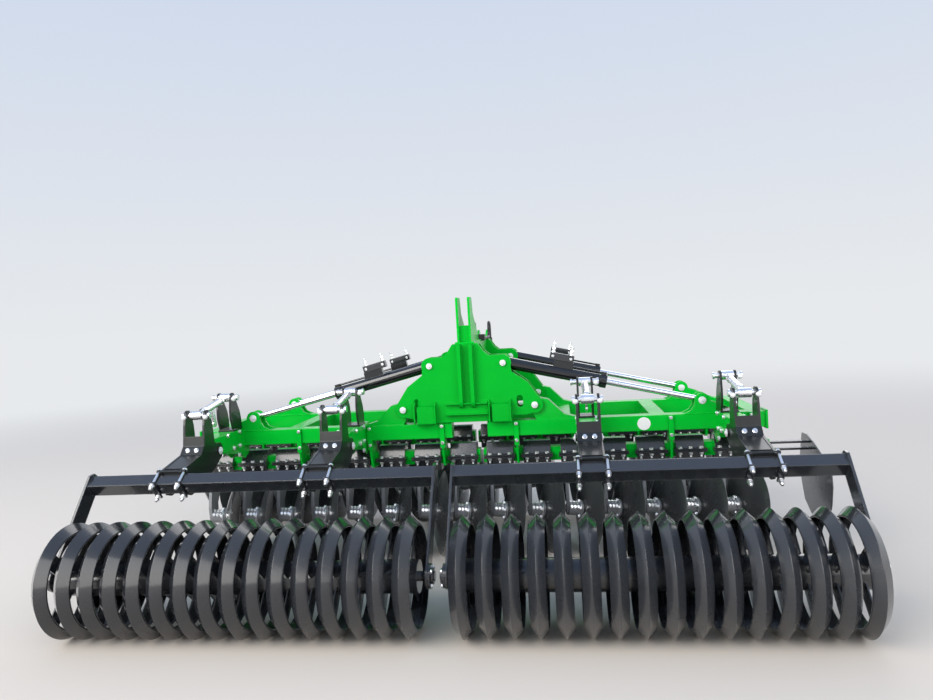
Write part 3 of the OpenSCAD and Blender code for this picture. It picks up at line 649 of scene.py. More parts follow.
@dataclass(frozen=True)
class CoatEffect:
    """Effect that every coat shares: patches of shade, settled dust, rounded edges and fine grain."""

    patch_detail: float = 4.0
    speck_scale: float = 38.0
    speck_detail: float = 6.0
    grain_detail: float = 2.0
    grain_depth: float = 0.001
    dust_slope: float = 0.35
    dust_dulling: float = 0.6
    roughness_swing: float = 0.25
    edge_samples: int = 4

    def build(self) -> bpy.types.NodeTree:
        """Builds the effect as a node group.

        The colour is shaded by wide soft noise, dust gathers on faces that look up, and the normal has
        rounded edges with a fine grain on top.

        Returns:
            A group with Colour, Roughness and Normal outputs.
        """
        outputs = {"Colour": "NodeSocketColor", "Roughness": "NodeSocketFloat", "Normal": "NodeSocketVector"}
        tree = new_group("coat_effect", Coating().effect_values(), outputs)
        net = Wiring(tree)
        source = tree.nodes["In"].outputs
        place = net.add("ShaderNodeTexCoord").outputs["Object"]
        patches = net.maths("SUBTRACT", net.noise(place, source["Patch scale"], self.patch_detail), 0.5)
        swing = net.maths("MULTIPLY_ADD", patches, source["Shade"], 1.0)
        shaded = net.add("ShaderNodeVectorMath", {0: source["Colour"], "Scale": swing}, operation="SCALE")
        normal = net.add("ShaderNodeNewGeometry").outputs["Normal"]
        height = net.add("ShaderNodeSeparateXYZ", {0: normal}).outputs["Z"]
        upward = net.add("ShaderNodeMapRange", {"Value": height, "From Min": self.dust_slope}).outputs[0]
        specks = net.noise(place, self.speck_scale, self.speck_detail)
        dust = net.maths("MULTIPLY", net.maths("MULTIPLY", upward, specks), source["Dust"])
        colours = {"Factor": dust, 6: shaded.outputs[0], 7: source["Dust colour"]}
        dusty = net.add("ShaderNodeMix", colours, data_type="RGBA")
        rough = net.maths("MULTIPLY_ADD", patches, self.roughness_swing, source["Roughness"])
        dulled = net.maths("MULTIPLY_ADD", dust, self.dust_dulling, rough, clamp=True)
        rounded = net.add("ShaderNodeBevel", {"Radius": source["Edge"]}, samples=self.edge_samples)
        bump = net.add("ShaderNodeBump", {
            "Strength": source["Grain"],
            "Distance": self.grain_depth,
            "Height": net.noise(place, source["Grain scale"], self.grain_detail),
            "Normal": rounded.outputs[0],
        })
        results = {"Colour": dusty.outputs[2], "Roughness": dulled, "Normal": bump.outputs[0]}
        net.feed(tree.nodes["Out"], results)
        return tree


GREEN_PAINT = Coating(
    (0.0012, 0.46, 0.029), shade=0.16, coat=0.08, gloss=0.15, gloss_tint=(0.10, 1.0, 0.30), dust=0.02
)
BLACK_PAINT = Coating(
    (0.016, 0.018, 0.022), shade=0.40, roughness=0.26, coat=0.85, coat_roughness=0.09, gloss=0.45, dust=0.03,
    edge=0.005,
)
COATS = {
    Slot.GREEN: GREEN_PAINT,
    Slot.BLACK: BLACK_PAINT,
    Slot.ZINC: Coating((0.86, 0.87, 0.89), shade=0.20, metallic=1.0, patch_scale=30.0, edge=0.0015),
    Slot.CHROME: Coating((0.84, 0.85, 0.87), shade=0.02, roughness=0.10, metallic=1.0, grain=0.0, edge=0.001),
    # Painted light: the disc arms' grey is much lighter than their dark paint, to stand for the sun and sky
    # reflected on them.
    Slot.ARM: Coating((0.210, 0.217, 0.230), shade=0.25, roughness=0.34, coat=0.25, dust=0.04),
    Slot.DISC: Coating((0.030, 0.033, 0.035), shade=0.35, roughness=0.28, coat=0.40, dust=0.06),
    Slot.HOSE: Coating((0.010, 0.010, 0.011), roughness=0.45, grain=0.25, grain_scale=1600.0),
    Finish.TUBE_GREEN: replace(
        GREEN_PAINT, colour=(0.0012, 0.47, 0.030), coat=0.25, coat_roughness=0.12, edge=0.010
    ),
    # Painted shade: a darker copy of the one green paint, put on the tower and its welds so that they read
    # darker than the wing tubes.
    Finish.TOWER_GREEN: replace(GREEN_PAINT, colour=(0.0012, 0.385, 0.022)),
    # Painted shade: a darker and duller copy of the black paint, put on the roller arms to stand for the
    # shade they lie in.
    Finish.SHADED_SATIN_BLACK: Coating(
        (0.0065, 0.0080, 0.0085), shade=0.40, roughness=0.36, coat=0.40, gloss=0.35, dust=0.02, edge=0.006
    ),
    Finish.DEEP_BLACK: Coating((0.0040, 0.0045, 0.0055), shade=0.30, roughness=0.16, coat=0.8, gloss=0.4),
    Finish.BEAM_BLACK: replace(
        BLACK_PAINT, colour=(0.014, 0.016, 0.020), shade=0.30, roughness=0.24, coat=0.90, coat_roughness=0.08,
        dust=0.02, edge=0.009,
    ),
    Finish.BRIGHT_CAP: Coating((0.78, 0.80, 0.81), shade=0.06, metallic=0.25, grain=0.03, edge=0.001),
    Finish.SIGN_WHITE: Coating((0.80, 0.81, 0.80), shade=0.04, grain=0.02, edge=0.0004),
}

# Finishes and painted shade of the nodes whose names start with these words; the tower and the roller arms
# take darker copies of their paint as painted shade.
NODE_FINISHES_AND_SHADES = {
    "tower": Finish.TOWER_GREEN,
    "wing_frame": Finish.TUBE_GREEN,
    "roller_arms": Finish.SHADED_SATIN_BLACK,
    "barrel": Finish.DEEP_BLACK,
    "roller_frame": Finish.BEAM_BLACK,
}


@dataclass
class PaintShop:
    """Makes the materials and puts them on the construction model's nodes."""

    coats: dict[Slot | Finish, Coating]
    effect: bpy.types.NodeTree
    made: dict[Slot | Finish, bpy.types.Material] = field(default_factory=dict)

    def coat(self, choice: Slot | Finish) -> bpy.types.Material:
        """Makes the coated material of a slot, a finish or a darker copy of a paint that stands for painted
        shade.

        Args:
            choice: The slot, finish or painted shade copy, which gives the material its name.

        Returns:
            The material, made once and kept.
        """
        if choice not in self.made:
            values = self.coats[choice]
            material = bpy.data.materials.new(choice.value)
            material.use_nodes = True
            tree = material.node_tree
            net = Wiring(tree)
            group = net.add("ShaderNodeGroup", values.effect_values(), node_tree=self.effect)
            net.feed(tree.nodes["Principled BSDF"], {
                "Base Color": group.outputs["Colour"],
                "Roughness": group.outputs["Roughness"],
                "Normal": group.outputs["Normal"],
                "Coat Normal": group.outputs["Normal"],
                **values.shader_values(),
            })
            self.made[choice] = material
        return self.made[choice]

    def dress_nodes(self, record: dict, nodes: dict[str, bpy.types.Object]) -> None:
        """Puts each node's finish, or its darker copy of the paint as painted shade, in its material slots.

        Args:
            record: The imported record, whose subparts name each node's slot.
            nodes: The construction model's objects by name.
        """
        for part in record["subparts"]:
            name = part["node"]
            special = next((NODE_FINISHES_AND_SHADES[start] for start in NODE_FINISHES_AND_SHADES if name.startswith(start)), None)
            materials = nodes[name].data.materials
            materials.clear()
            materials.append(self.coat(special or Slot(part["material_slot"])))


@dataclass
class Workshop:
    """Makes pieces from shapes, paints them and lets them ride."""

    shop: PaintShop
    machine: Machine
    shift: np.ndarray
    crease: float = math.radians(32.0)

    def add(
        self, name: str, shapes: list[Shape], body: str, slot: Slot = Slot.ZINC, finish: Finish | None = None
    ) -> None:
        """Adds one piece to the scene.

        Args:
            name: The piece's name.
            shapes: Its shapes in the machine's own places.
            body: Body of the construction model that it rides on.
            slot: Material slot of the record whose material it takes, where no finish is given.
            finish: Special finish, or a darker copy of the paint as painted shade, where the slot's own isn't
                meant.
        """
        shape = joined(shapes)
        mesh = bpy.data.meshes.new(name)
        faces = shape.quads.tolist() + shape.triangles.tolist()
        mesh.from_pydata((shape.points + self.shift).tolist(), [], faces)
        mesh.polygons.foreach_set("use_smooth", np.ones(len(faces), dtype=bool))
        mesh.set_sharp_from_angle(angle=self.crease)
        mesh.materials.append(self.shop.coat(finish or slot))
        piece = placed(name, mesh)
        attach(piece, body)
        LOG.info("%s: %d faces on %s", name, len(faces), body)

    def add_to_wing(
        self, name: str, side: Side, shapes: list[Shape], slot: Slot = Slot.ZINC, finish: Finish | None = None
    ) -> None:
        """Adds one piece that rides on a wing and is named after its side."""
        self.add(f"{name}_{side.word}", shapes, f"wing_{side.word}", slot, finish)


@dataclass(frozen=True)
class HousingBolts:
    """Bolts that clamp the half shells of the rubber sprung housings."""

    thread: Thread = Thread(0.016, 12)
    spread: float = 0.067
    tail: float = 0.016

    def build(self, work: Workshop) -> None:
        """Sets three bolts through each flange, head above and nut below.

        Args:
            work: The workshop that takes the pieces.
        """
        m = work.machine
        reach = m.housing_d / 2 + m.flange_out / 2
        lift = (m.flange_gap / 2 + m.flange_t) * UP
        for side in Side:
            spots = []
            for row in Row:
                x = m.housing_x(side, row)[:, None, None] + self.spread * np.array([-1.0, 0.0, 1.0])[:, None]
                x, y = np.broadcast_arrays(x, m.row_y(row) + reach * np.array(BOTH))
                spots.append(np.column_stack([x.ravel(), y.ravel(), np.full(x.size, m.row_z)]))
            places = np.concatenate(spots)
            heads = stamped(self.thread.head(), places + lift, UP)
            nuts = stamped(self.thread.nut(self.tail), places - lift, -UP)
            work.add_to_wing("housing_bolts", side, [heads, nuts])


@dataclass(frozen=True)
class GreaseNipple:
    """Grease nipple: hexagon, neck and ball."""

    hexagon_r: float = 0.0058
    hexagon_h: float = 0.006
    neck_r: tuple[float, float] = (0.0034, 0.0024)
    neck_top: float = 0.009
    ball_r: float = 0.0032
    ball_z: float = 0.0125

    def build(self) -> Shape:
        """Turns the hexagon, and the neck with the ball on it.

        Returns:
            The closed shapes, standing on Z = 0.
        """
        ball = bulge(self.ball_r, self.ball_r, self.ball_z, -0.9, 1.35, 7)
        neck = [(self.neck_r[0], self.hexagon_h), (self.neck_r[1], self.neck_top)]
        hexagon = [(self.hexagon_r, 0.0), (self.hexagon_r, self.hexagon_h)]
        return joined([lathe(hexagon, 6), lathe(neck + ball, 12)])


@dataclass(frozen=True)
class Hubs:
    """Trim of the disc hubs: plated flange, bolts and grease nipple behind, nuts and cap in front."""

    thread: Thread = Thread(0.014, 12)
    bolts: int = 5
    first_bolt: float = 0.35
    bolt_circle: float = 0.0515
    nut_circle: float = 0.046
    tail: float = 0.006
    flange_r: float = 0.0625
    flange_t: float = 0.004
    cap_r: float = 0.030
    cap_h: float = 0.020
    cap_wall: float = 0.006
    nipple: GreaseNipple = GreaseNipple()
    nipple_out: float = 0.008
    saddle: Thread = Thread(0.0125, 12)
    saddle_pitch: float = 0.0225
    saddle_turn: float = 0.42
    saddle_middle: float = 0.011
    saddle_sink: float = 0.003
    saddle_way: Point = (0.0, -0.62, 0.78)

    def cap(self) -> Shape:
        """Makes a domed cap: a short wall and nearly a quarter of an ellipse above it."""
        dome = bulge(self.cap_r, self.cap_h - self.cap_wall, self.cap_wall, 0.0, 0.47 * np.pi, 9)
        return lathe([(self.cap_r, 0.0), *dome], 28)

    def saddle_bolts(self, m: Machine, hubs: np.ndarray, axis: np.ndarray) -> list[Shape]:
        """Sets two rows of three bolt heads on each hub's barrel, up and to the rear.

        A head stands at distance hub_r - saddle_sink from the axis along cos a x up + sin a x across, where
        up is square to the axis and across is axis x up.

        Args:
            m: The machine.
            hubs: Middles of the hubs.
            axis: The row's disc axis.

        Returns:
            The closed heads.
        """
        up = np.array(self.saddle_way)
        up -= (up @ axis) * axis
        up /= np.linalg.norm(up)
        across = np.cross(axis, up)
        heads = []
        for angle in (-self.saddle_turn, self.saddle_turn):
            out = math.cos(angle) * up + math.sin(angle) * across
            for step in (-1.0, 0.0, 1.0):
                along = self.saddle_middle + step * self.saddle_pitch
                seats = hubs + along * axis + (m.hub_r - self.saddle_sink) * out
                heads.append(stamped(self.saddle.head(), seats, out))
        return heads

    def build(self, work: Workshop) -> None:
        """Dresses every hub, the still side on its wing and the turning side on its disc.

        Args:
            work: The workshop that takes the pieces.
        """
        m = work.machine
        rear_face = m.hub_face - m.collar_t
        front_face = m.hub_face + m.face_gap + m.collar_t
        flange = lathe([(self.flange_r, 0.0), (self.flange_r, self.flange_t)], 36)
        nipple, nut, cap = self.nipple.build(), self.thread.nut(self.tail), self.cap()
        for side in Side:
            still = []
            for row in Row:
                axis = m.disc_axis(row)
                hubs = m.hubs(side, row)
                seat = hubs + (rear_face - self.flange_t) * axis
                spots = around(seat, axis, self.bolt_circle, self.bolts, self.first_bolt)
                nipples = hubs - (m.hub_back + self.nipple_out) * axis
                still += [stamped(flange, seat, axis), stamped(self.thread.head(), spots, -axis)]
                still += [stamped(nipple, nipples, -axis), *self.saddle_bolts(m, hubs, axis)]
                for k, hub in enumerate(hubs):
                    face = hub + front_face * axis
                    circle = around(face, axis, self.nut_circle, self.bolts, self.first_bolt)
                    name = f"{row.word}_{side.word}_{k + 1}"
                    work.add(f"hub_nuts_{name}", [stamped(nut, circle, axis)], f"disc_{name}")
                    work.add(f"hub_cap_{name}", [stamped(cap, face, axis)], f"disc_{name}", Slot.BLACK)
            work.add_to_wing("hub_bolts", side, still)


@dataclass(frozen=True)
class PinCaps:
    """Plated caps, each with its bolt, on the ends of the pins."""

    thread: Thread = Thread(0.012)
    rim: float = 0.003
    high: float = 0.007
    wing_r: float = 0.024
    arm_pin_over: float = 0.009

    def cap(self, radius: float) -> Shape:
        """Makes a round cap with a bevelled rim and a low bolt in its middle."""
        bolt = self.thread.hexagon(self.high, 0.5 * self.thread.d)
        return joined([bevelled_disc(radius, self.high, 0.86, 40), bolt])

    def build(self, work: Workshop) -> None:
        """Caps the tower's pins, the wings' cylinder pins and the roller arms' pins.

        Args:
            work: The workshop that takes the pieces.
        """
        m = work.machine
        reach = m.tower_w / 2 + m.pin_over
        caps = []
        for row in Row:
            for way in BOTH:
                for (x, z), radius in ((m.pivot, m.pivot_r - self.rim), (m.ram, m.ram_r + self.rim)):
                    y = m.frame_y(row) + way * reach
                    caps.append(stamped(self.cap(radius), np.array([[-x, y, z], [x, y, z]]), way * FORWARD))
        work.add("tower_pin_caps", caps, "root", finish=Finish.BRIGHT_CAP)
        cap = self.cap(self.wing_r)
        out = m.bracket_w / 2 + m.roller_arm_t + self.arm_pin_over
        for side in Side:
            x, z = side.value * m.lug[0], m.lug[1]
            caps = []
            for row in Row:
                for way in BOTH:
                    caps.append(stamped(cap, (x, m.frame_y(row) + way * m.lug_side, z), way * FORWARD))
            for x in side.value * np.array(m.bracket_x):
                for way in BOTH:
                    caps.append(stamped(cap, (x + way * out, *m.arm_pin), way * RIGHT))
            work.add_to_wing("wing_pin_caps", side, caps, finish=Finish.BRIGHT_CAP)


@dataclass(frozen=True)
class BeamClamps:
    """Long bolts and straps that clamp the roller tubes to the roller arms."""

    thread: Thread = Thread(0.016)
    spread: float = 0.0775
    tail: float = 0.012
    strap_w: float = 0.034
    strap_t: float = 0.012
    strap_edge: float = 0.0015
    gap: float = 0.001
    seat: float = 0.0005

    def build(self, work: Workshop) -> None:
        """Sets bolts over and under the tube on both sides of each arm, with a strap behind the tube.

        Args:
            work: The workshop that takes the pieces.
        """
        m = work.machine
        forward, upward = m.beam_ways
        half = m.beam_w / 2
        lift = half + self.thread.d / 2 + self.gap
        front = half + m.clamp_t + self.seat
        wide, high = self.strap_w / 2, lift + self.thread.d
        strap = prism(oblong(wide, high), self.strap_t, self.strap_edge)
        bar = lathe([(self.thread.d / 2, 0.0), (self.thread.d / 2, front + half)], 16)
        nut = self.thread.nut(self.tail, lock=True)
        for side in Side:
            middles = np.array([
                [side.value * x + way * self.spread, m.beam_y, m.beam_z] for x in m.bracket_x for way in BOTH
            ])
            spots = np.concatenate([middles + way * lift * upward for way in BOTH])
            bolts = [
                stamped(self.thread.head(), spots + front * forward, forward),
                stamped(bar, spots - half * forward, forward),
                stamped(nut, spots - (half + self.strap_t) * forward, -forward),
            ]
            straps = [stamped(strap, middles - half * forward, -forward)]
            work.add_to_wing("beam_bolts", side, bolts)
            work.add_to_wing("beam_straps", side, straps, Slot.BLACK)


@dataclass(frozen=True)
class FrameBolts:
    """Bolts of the brackets, the arms' filler plates, the hangers and the roller bearings."""

    thread: Thread = Thread(0.016)
    small: Thread = Thread(0.012)
    filler: Thread = Thread(0.015)
    bracket_spots: tuple[tuple[float, float], ...] = (
        (0.98, 0.906), (1.16, 0.906), (1.06, 0.812), (1.15, 0.812), (1.13, 0.752),
    )
    filler_spot: tuple[float, float] = (0.611, 0.8795)
    filler_way: Point = (0.0, -0.746, 0.666)
    filler_spread: float = 0.028
    hanger_top: float = 0.018
    hanger_foot: float = 0.030
    bracket_clear: float = 0.08
    bearing_circle: float = 0.051
    bearing_bolts: int = 4

    def on_brackets(self, m: Machine, side: Side) -> list[Shape]:
        """Sets bolt heads on both sides of each bracket, and two on the filler plate of its arm.

        Args:
            m: The machine.
            side: The wing.

        Returns:
            The closed heads.
        """
        made = []
        for x in side.value * np.array(m.bracket_x):
            for way in BOTH:
                spots = [(x + way * m.bracket_w / 2, *spot) for spot in self.bracket_spots]
                made.append(stamped(self.thread.head(), spots, way * RIGHT))
            pair = [(x + way * self.filler_spread, *self.filler_spot) for way in BOTH]
            made.append(stamped(self.filler.head(), pair, self.filler_way))
        return made

    def on_hangers(self, m: Machine, side: Side) -> Shape:
        """Sets two bolt heads on the flange of each rear hanger, where no bracket takes its place.

        Args:
            m: The machine.
            side: The wing.

        Returns:
            The closed heads.
        """
        x = m.housing_x(side, Row.REAR)[::2] + side.value * m.disc_pitch / 2
        free = np.abs(np.abs(x)[:, None] - np.array(m.bracket_x)).min(axis=1) > self.bracket_clear
        y = m.rear_y - m.tube_w / 2 - m.hanger_t
        levels = (m.tube_z + m.tube_w / 2 - self.hanger_top, m.tube_z - m.tube_w / 2 - self.hanger_foot)
        return stamped(self.small.head(), [(place, y, z) for place in x[free] for z in levels], -FORWARD)

    def on_bearings(self, m: Machine, side: Side) -> list[Shape]:
        """Sets the bolts on the flange of each roller bearing.

        Args:
            m: The machine.
            side: The wing.

        Returns:
            The closed heads.
        """
        made = []
        for x, way in zip(m.roller_x, BOTH):
            face = side.value * (x + way * m.bearing_t / 2) - m.roller_shift
            axis = side.value * way * RIGHT
            place = np.array([face, 0.0, m.ring_r])
            spots = around(place, axis, self.bearing_circle, self.bearing_bolts, math.pi / 4)
            made.append(stamped(self.small.head(), spots, axis))
        return made

    def build(self, work: Workshop) -> None:
        """Makes one piece of bolts for each wing.

        Args:
            work: The workshop that takes the pieces.
        """
        m = work.machine
        for side in Side:
            bolts = [*self.on_brackets(m, side), self.on_hangers(m, side), *self.on_bearings(m, side)]
            work.add_to_wing("frame_bolts", side, bolts)


@dataclass(frozen=True)
class SpindleTrim:
    """Threads of the depth spindles, and the round knobs of their pins."""

    thread: Thread = Thread(0.0285, 24)
    start: float = 0.028
    length: float = 0.052
    stem_r: float = 0.006
    stem_l: float = 0.009
    knob_r: float = 0.016
    knob_z: float = 0.022
    knob_out: float = 0.012
    knob_way: Point = (0.0, -1.0, -0.25)
    pin_in: float = 0.020

    def knob(self) -> Shape:
        """Makes a knob on a short stem: a ball that is flattened along its stem."""
        ball = bulge(self.knob_r, 0.8 * self.knob_r, self.knob_z, -1.2, 1.2, 11)
        return lathe([(self.stem_r, 0.0), (self.stem_r, self.stem_l), *ball], 24)

    def build(self, work: Workshop) -> None:
        """Cuts the threads and sets a knob at three of each spindle's four pin ends.

        Args:
            work: The workshop that takes the pieces.
        """
        m = work.machine
        low, high = np.array([0.0, *m.spindle_a]), np.array([0.0, *m.spindle_b])
        way = (high - low) / np.linalg.norm(high - low)
        back = np.array(self.knob_way)
        across = (m.spindle_pin_l / 2 - self.pin_in) * RIGHT
        ridge, knob = self.thread.shank(self.length), self.knob()
        for side in Side:
            threads, knobs = [], []
            for x in m.bracket_x:
                place = side.value * x * RIGHT
                threads.append(stamped(ridge, place + low + self.start * way, way))
                threads.append(stamped(ridge, place + high - self.start * way, -way))
                ends = np.array([place + low + across, place + high + across, place + low - across])
                knobs.append(stamped(knob, ends + self.knob_out * back, back))
            work.add_to_wing("spindle_threads", side, threads)
            work.add_to_wing("spindle_knobs", side, knobs, finish=Finish.BRIGHT_CAP)


@dataclass(frozen=True)
class CylinderFittings:
    """Lock valve on each cylinder's port block, with two screwed fittings that stand on it.

    A fitting is turned from the foot up: hexagon, collar, union nut and closing cap, each with its number of
    sides and its profile. The screw is the low round one that closes a bore of the valve.
    """

    block_l: float = 0.160
    block_w: float = 0.046
    block_h: float = 0.046
    block_edge: float = 0.003
    block_back: float = 0.020
    steps: tuple[float, float] = (-0.060, 0.060)
    fitting: tuple[tuple[int, Profile], ...] = (
        (6, ((0.0130, 0.0), (0.0130, 0.010), (0.0120, 0.012))),
        (20, ((0.0080, 0.012), (0.0080, 0.018))),
        (6, ((0.0112, 0.018), (0.0120, 0.019), (0.0120, 0.034), (0.0108, 0.036))),
        (20, ((0.0070, 0.036), (0.0070, 0.044), (0.0088, 0.045), (0.0088, 0.054), (0.0075, 0.056))),
    )
    screw: Profile = ((0.0095, 0.0), (0.0095, 0.004), (0.0085, 0.005), (0.0045, 0.005), (0.0045, 0.003))

    def build(self, work: Workshop) -> None:
        """Lays a valve on each cylinder and stands its fittings on it.

        Args:
            work: The workshop that takes the pieces.
        """
        m = work.machine
        half_w = self.block_w / 2
        block = prism(oblong(half_w, self.block_l / 2), self.block_h, self.block_edge)
        fitting = joined([lathe(profile, sides) for sides, profile in self.fitting])
        screw = lathe(self.screw, 20)
        along = m.port_x + m.port_l / 2 - self.block_back
        for side in Side:
            way = m.ram_way * np.array([side.value, 1.0, 1.0])
            up = np.cross(way, side.value * FORWARD)
            up *= math.copysign(1.0, up[2])
            for row in Row:
                base = np.array([side.value * m.ram[0], m.frame_y(row), m.ram[1]])
                middle = base + along * way + (m.barrel_r + m.port_h) * up
                spots = middle + np.outer(self.steps, way)
                pieces = [stamped(fitting, spots + self.block_h * up, up)]
                for out in (-FORWARD, FORWARD):
                    pieces.append(stamped(screw, spots + self.block_h / 2 * up + half_w * out, out))
                name, body = f"{row.word}_{side.word}", f"barrel_{row.word}_{side.word}"
                work.add(f"fittings_{name}", pieces, body)
                work.add(f"lock_valve_{name}", [stamped(block, middle, up)], body, Slot.BLACK)


@dataclass(frozen=True)
class Sign:
    """Blank white disc on the right rear wing tube."""

    x: float = 1.142
    z: float = 0.848
    radius: float = 0.042
    high: float = 0.0012

    def build(self, work: Workshop) -> None:
        """Lays the disc on the tube's rear face.

        Args:
            work: The workshop that takes the pieces.
        """
        m = work.machine
        disc = bevelled_disc(self.radius, self.high, 0.985, 64)
        place = (self.x, m.rear_y - m.tube_w / 2, self.z)
        work.add("blank_sign", [stamped(disc, place, -FORWARD)], "wing_right", Slot.GREEN, Finish.SIGN_WHITE)


@dataclass(frozen=True)
class WeldBeads:
    """Rippled weld beads along the joints of the plates."""

    radius: float = 0.0045
    ripple: float = 0.008
    swell: float = 0.10
    sides: int = 8
    rib_edge: float = 0.012
    rib_foot: float = 1.048
    rib_down: float = 0.004
    shelf_x: tuple[float, float] = (-0.150, 0.132)
    shelf_z: tuple[float, float] = (1.036, 0.958)
    lug_x: tuple[float, float] = (-0.118, 0.228)
    bracket_up: float = 0.002

    def bead(self, start: Point, end: Point) -> Shape:
        """Makes one straight bead.

        The radius at distance s is radius x (1 + swell |sin(pi s / ripple)|), which leaves a scale at each
        ripple.

        Args:
            start: First end of the joint.
            end: Last end of the joint.

        Returns:
            The closed bead.
        """
        first, last = np.array(start, dtype=float), np.array(end, dtype=float)
        length = float(np.linalg.norm(last - first))
        way = (last - first) / length
        s = np.linspace(0.0, length, max(7, 3 * round(length / self.ripple) + 1))
        radius = self.radius * (1 + self.swell * np.abs(np.sin(np.pi * s / self.ripple)))
        helper = RIGHT if abs(way[0]) < 0.8 else UP
        return tube(first + s[:, None] * way, radius, np.cross(way, helper), self.sides)

    def tower_joints(self, m: Machine) -> list[tuple[Point, Point]]:
        """Lists the joints of the tower's ribs and of the shelf with its rear plate.

        Args:
            m: The machine.

        Returns:
            First and last end of each joint.
        """
        y = m.rear_y - m.tower_w / 2
        ribs = [way * m.fin_x + edge for way in BOTH for edge in (-self.rib_edge, self.rib_edge)]
        joints = [((x, y, self.rib_foot), (x, y, m.tower_top - self.rib_down)) for x in ribs]
        left, right = self.shelf_x
        return joints + [((left, y, z), (right, y, z)) for z in self.shelf_z]

    def wing_joints(self, m: Machine, side: Side) -> list[tuple[Point, Point]]:
        """Lists the joints of a wing's lugs and brackets with its tubes.

        Args:
            m: The machine.
            side: The wing.

        Returns:
            First and last end of each joint.
        """
        top = m.tube_z + m.tube_w / 2
        near, far = (side.value * (m.lug[0] + x) for x in self.lug_x)
        sheets = [m.frame_y(row) + way * m.lug_side for row in Row for way in BOTH]
        edges = [side.value * x + way * m.bracket_w / 2 for x in m.bracket_x for way in BOTH]
        y, foot = m.rear_y - m.tube_w / 2, top - m.tube_w + self.bracket_up
        lugs = [((near, sheet, top), (far, sheet, top)) for sheet in sheets]
        return lugs + [((edge, y, foot), (edge, y, top)) for edge in edges]

    def build(self, work: Workshop) -> None:
        """Lays the beads, painted with their plates; the tower's beads take the tower's darker green, which
        is painted shade.

        Args:
            work: The workshop that takes the pieces.
        """
        m = work.machine
        tower = [self.bead(*joint) for joint in self.tower_joints(m)]
        work.add("tower_welds", tower, "root", Slot.GREEN, Finish.TOWER_GREEN)
        for side in Side:
            wing = [self.bead(*joint) for joint in self.wing_joints(m, side)]
            work.add_to_wing("wing_welds", side, wing, Slot.GREEN)


MAKERS = (
    HousingBolts(), Hubs(), PinCaps(), BeamClamps(), FrameBolts(), SpindleTrim(), CylinderFittings(), Sign(),
    WeldBeads(),
)


@dataclass(frozen=True)
class Lamp:
    """Square soft lamp that shines at the origin and is itself out of the camera's sight."""

    name: str
    place: Point
    power: float
    size: float = 12.0
    colour: Colour = (1.0, 0.96, 0.90)

    def build(self) -> None:
        """Hangs the lamp."""
        data = bpy.data.lights.new(self.name, "AREA")
        data.size = self.size
        data.energy = self.power
        data.color = self.colour
        lamp = placed(self.name, data)
        lamp.location = self.place
        lamp.rotation_mode = "QUATERNION"
        lamp.rotation_quaternion = Vector(self.place).to_track_quat("Z", "Y")
        lamp.visible_camera = False


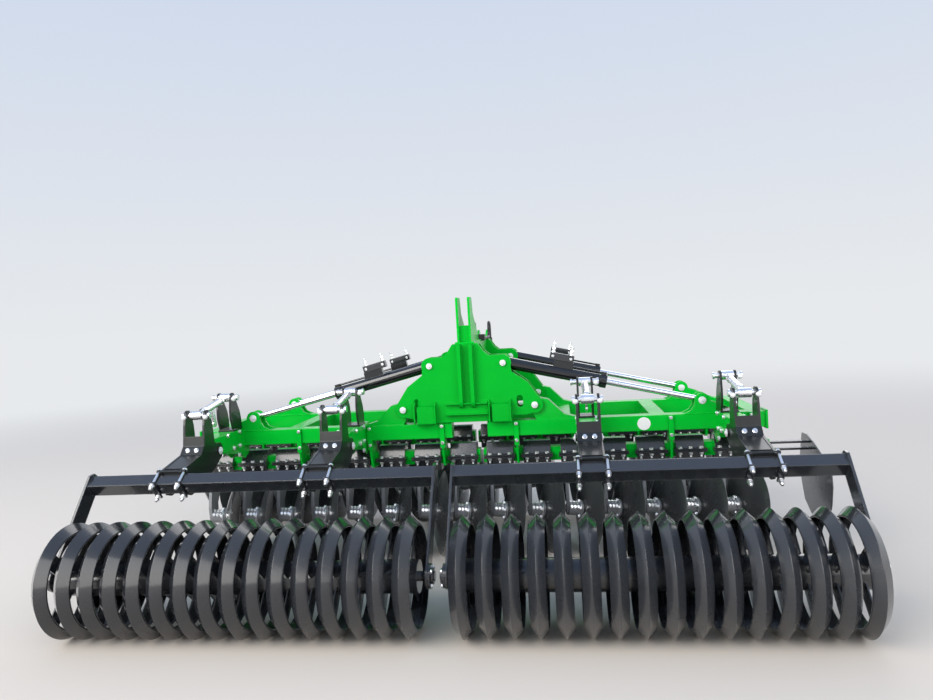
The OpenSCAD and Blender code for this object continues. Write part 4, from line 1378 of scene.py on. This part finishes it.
@dataclass(frozen=True)
class Studio:
    """Plain floor, soft light and the photograph's viewpoint."""

    eye: Point = (0.629, -5.938, 0.154)
    turn_left: float = 0.1297
    look_down: float = 0.0434
    roll: float = 0.0574
    focal_px: float = 719.7
    image_w_px: float = 933.0
    sensor_w: float = 36.0
    floor_size: float = 60.0
    floor_colour: Colour = (0.60, 0.55, 0.49)
    floor_roughness: float = 0.9
    fade: tuple[float, float] = (5.0, 16.0)
    horizon: Colour = (0.80, 0.82, 0.84)
    zenith: Colour = (0.42, 0.56, 0.84)
    zenith_from: float = 0.9
    lamps: tuple[Lamp, ...] = (
        Lamp("key", (-9.0, -12.0, 8.0), 3000.0),
        Lamp("fill", (10.0, -11.0, 5.0), 1050.0),
        Lamp("back", (5.0, 15.0, 9.0), 900.0),
    )

    def camera(self) -> None:
        """Makes the camera: turned about Z, tipped down, then rolled about its own axis."""
        data = bpy.data.cameras.new("camera")
        data.sensor_width = self.sensor_w
        data.lens = self.sensor_w * self.focal_px / self.image_w_px
        camera = placed("camera", data)
        turn = Matrix.Rotation(self.turn_left, 4, "Z")
        tip = Matrix.Rotation(math.pi / 2 - self.look_down, 4, "X")
        roll = Matrix.Rotation(-self.roll, 4, "Z")
        camera.matrix_world = Matrix.Translation(self.eye) @ turn @ tip @ roll
        bpy.context.scene.camera = camera

    def floor(self, ground: float) -> None:
        """Lays the floor at the lowest point of the machine.

        Args:
            ground: Height of that point.
        """
        half = self.floor_size / 2
        mesh = bpy.data.meshes.new("floor")
        mesh.from_pydata([(x, y, ground) for x, y in oblong(half, half)], [], [(0, 1, 2, 3)])
        mesh.materials.append(self.floor_material())
        placed("floor", mesh)

    def floor_material(self) -> bpy.types.Material:
        """Makes the floor's material, which turns into the horizon's colour far from the machine.

        The share of the horizon rises smoothly with the distance from the origin, and only for rays that show
        the floor to the camera, straight or by way of a mirror or glass.

        Returns:
            The material.
        """
        material = bpy.data.materials.new("floor")
        material.use_nodes = True
        tree = material.node_tree
        net = Wiring(tree)
        near = tree.nodes["Principled BSDF"]
        net.feed(near, {"Base Color": (*self.floor_colour, 1.0), "Roughness": self.floor_roughness})
        place = net.add("ShaderNodeTexCoord").outputs["Object"]
        flat = net.add("ShaderNodeVectorMath", {0: place, 1: (1.0, 1.0, 0.0)}, operation="MULTIPLY")
        away = net.add("ShaderNodeVectorMath", {0: flat.outputs[0]}, operation="LENGTH")
        reach = {"Value": away.outputs["Value"], "From Min": self.fade[0], "From Max": self.fade[1]}
        far = net.add("ShaderNodeMapRange", reach, interpolation_type="SMOOTHSTEP")
        rays = net.add("ShaderNodeLightPath").outputs
        seen = rays["Is Camera Ray"]
        for ray in ("Is Glossy Ray", "Is Transmission Ray"):
            seen = net.maths("MAXIMUM", seen, rays[ray])
        share = net.maths("MULTIPLY", far.outputs["Result"], seen)
        distant = net.add("ShaderNodeEmission", {"Color": (*self.horizon, 1.0)})
        blend = net.add("ShaderNodeMixShader", {0: share, 1: near.outputs[0], 2: distant.outputs[0]})
        net.feed(tree.nodes["Material Output"], {"Surface": blend.outputs[0]})
        return material

    def sky(self) -> None:
        """Gives the world a soft light that turns from pale at the horizon to blue overhead."""
        world = bpy.data.worlds.new("studio")
        world.use_nodes = True
        bpy.context.scene.world = world
        tree = world.node_tree
        net = Wiring(tree)
        place = net.add("ShaderNodeTexCoord").outputs["Generated"]
        height = net.add("ShaderNodeSeparateXYZ", {0: place}).outputs["Z"]
        rise = net.add("ShaderNodeMapRange", {"Value": height, "From Max": self.zenith_from}).outputs[0]
        colours = {"Factor": rise, 6: (*self.horizon, 1.0), 7: (*self.zenith, 1.0)}
        light = net.add("ShaderNodeMix", colours, data_type="RGBA")
        net.feed(tree.nodes["Background"], {"Color": light.outputs[2]})

    def build(self, ground: float) -> None:
        """Sets up the whole studio on the ground height given.

        Args:
            ground: Height of the ground.
        """
        self.camera()
        self.floor(ground)
        self.sky()
        for lamp in self.lamps:
            lamp.build()


def main() -> None:
    """Dresses the nodes, builds the pieces in order and sets up the studio."""
    logging.basicConfig(level=logging.INFO, format="%(message)s")
    low, high = CAD_BOX
    shop = PaintShop(COATS, CoatEffect().build())
    shop.dress_nodes(frame["record"], frame["nodes"])
    LOG.info("dressed %d nodes", len(frame["nodes"]))
    roller_low, roller_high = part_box("roller_right")
    axle_y = (roller_low[1] + roller_high[1]) / 2
    work = Workshop(shop, Machine(), np.array([0.0, axle_y, low.z]))
    for maker in MAKERS:
        maker.build(work)
    Studio().build(low.z)
    bpy.context.scene.view_settings.view_transform = "Standard"


if __name__ == "__main__":
    main()
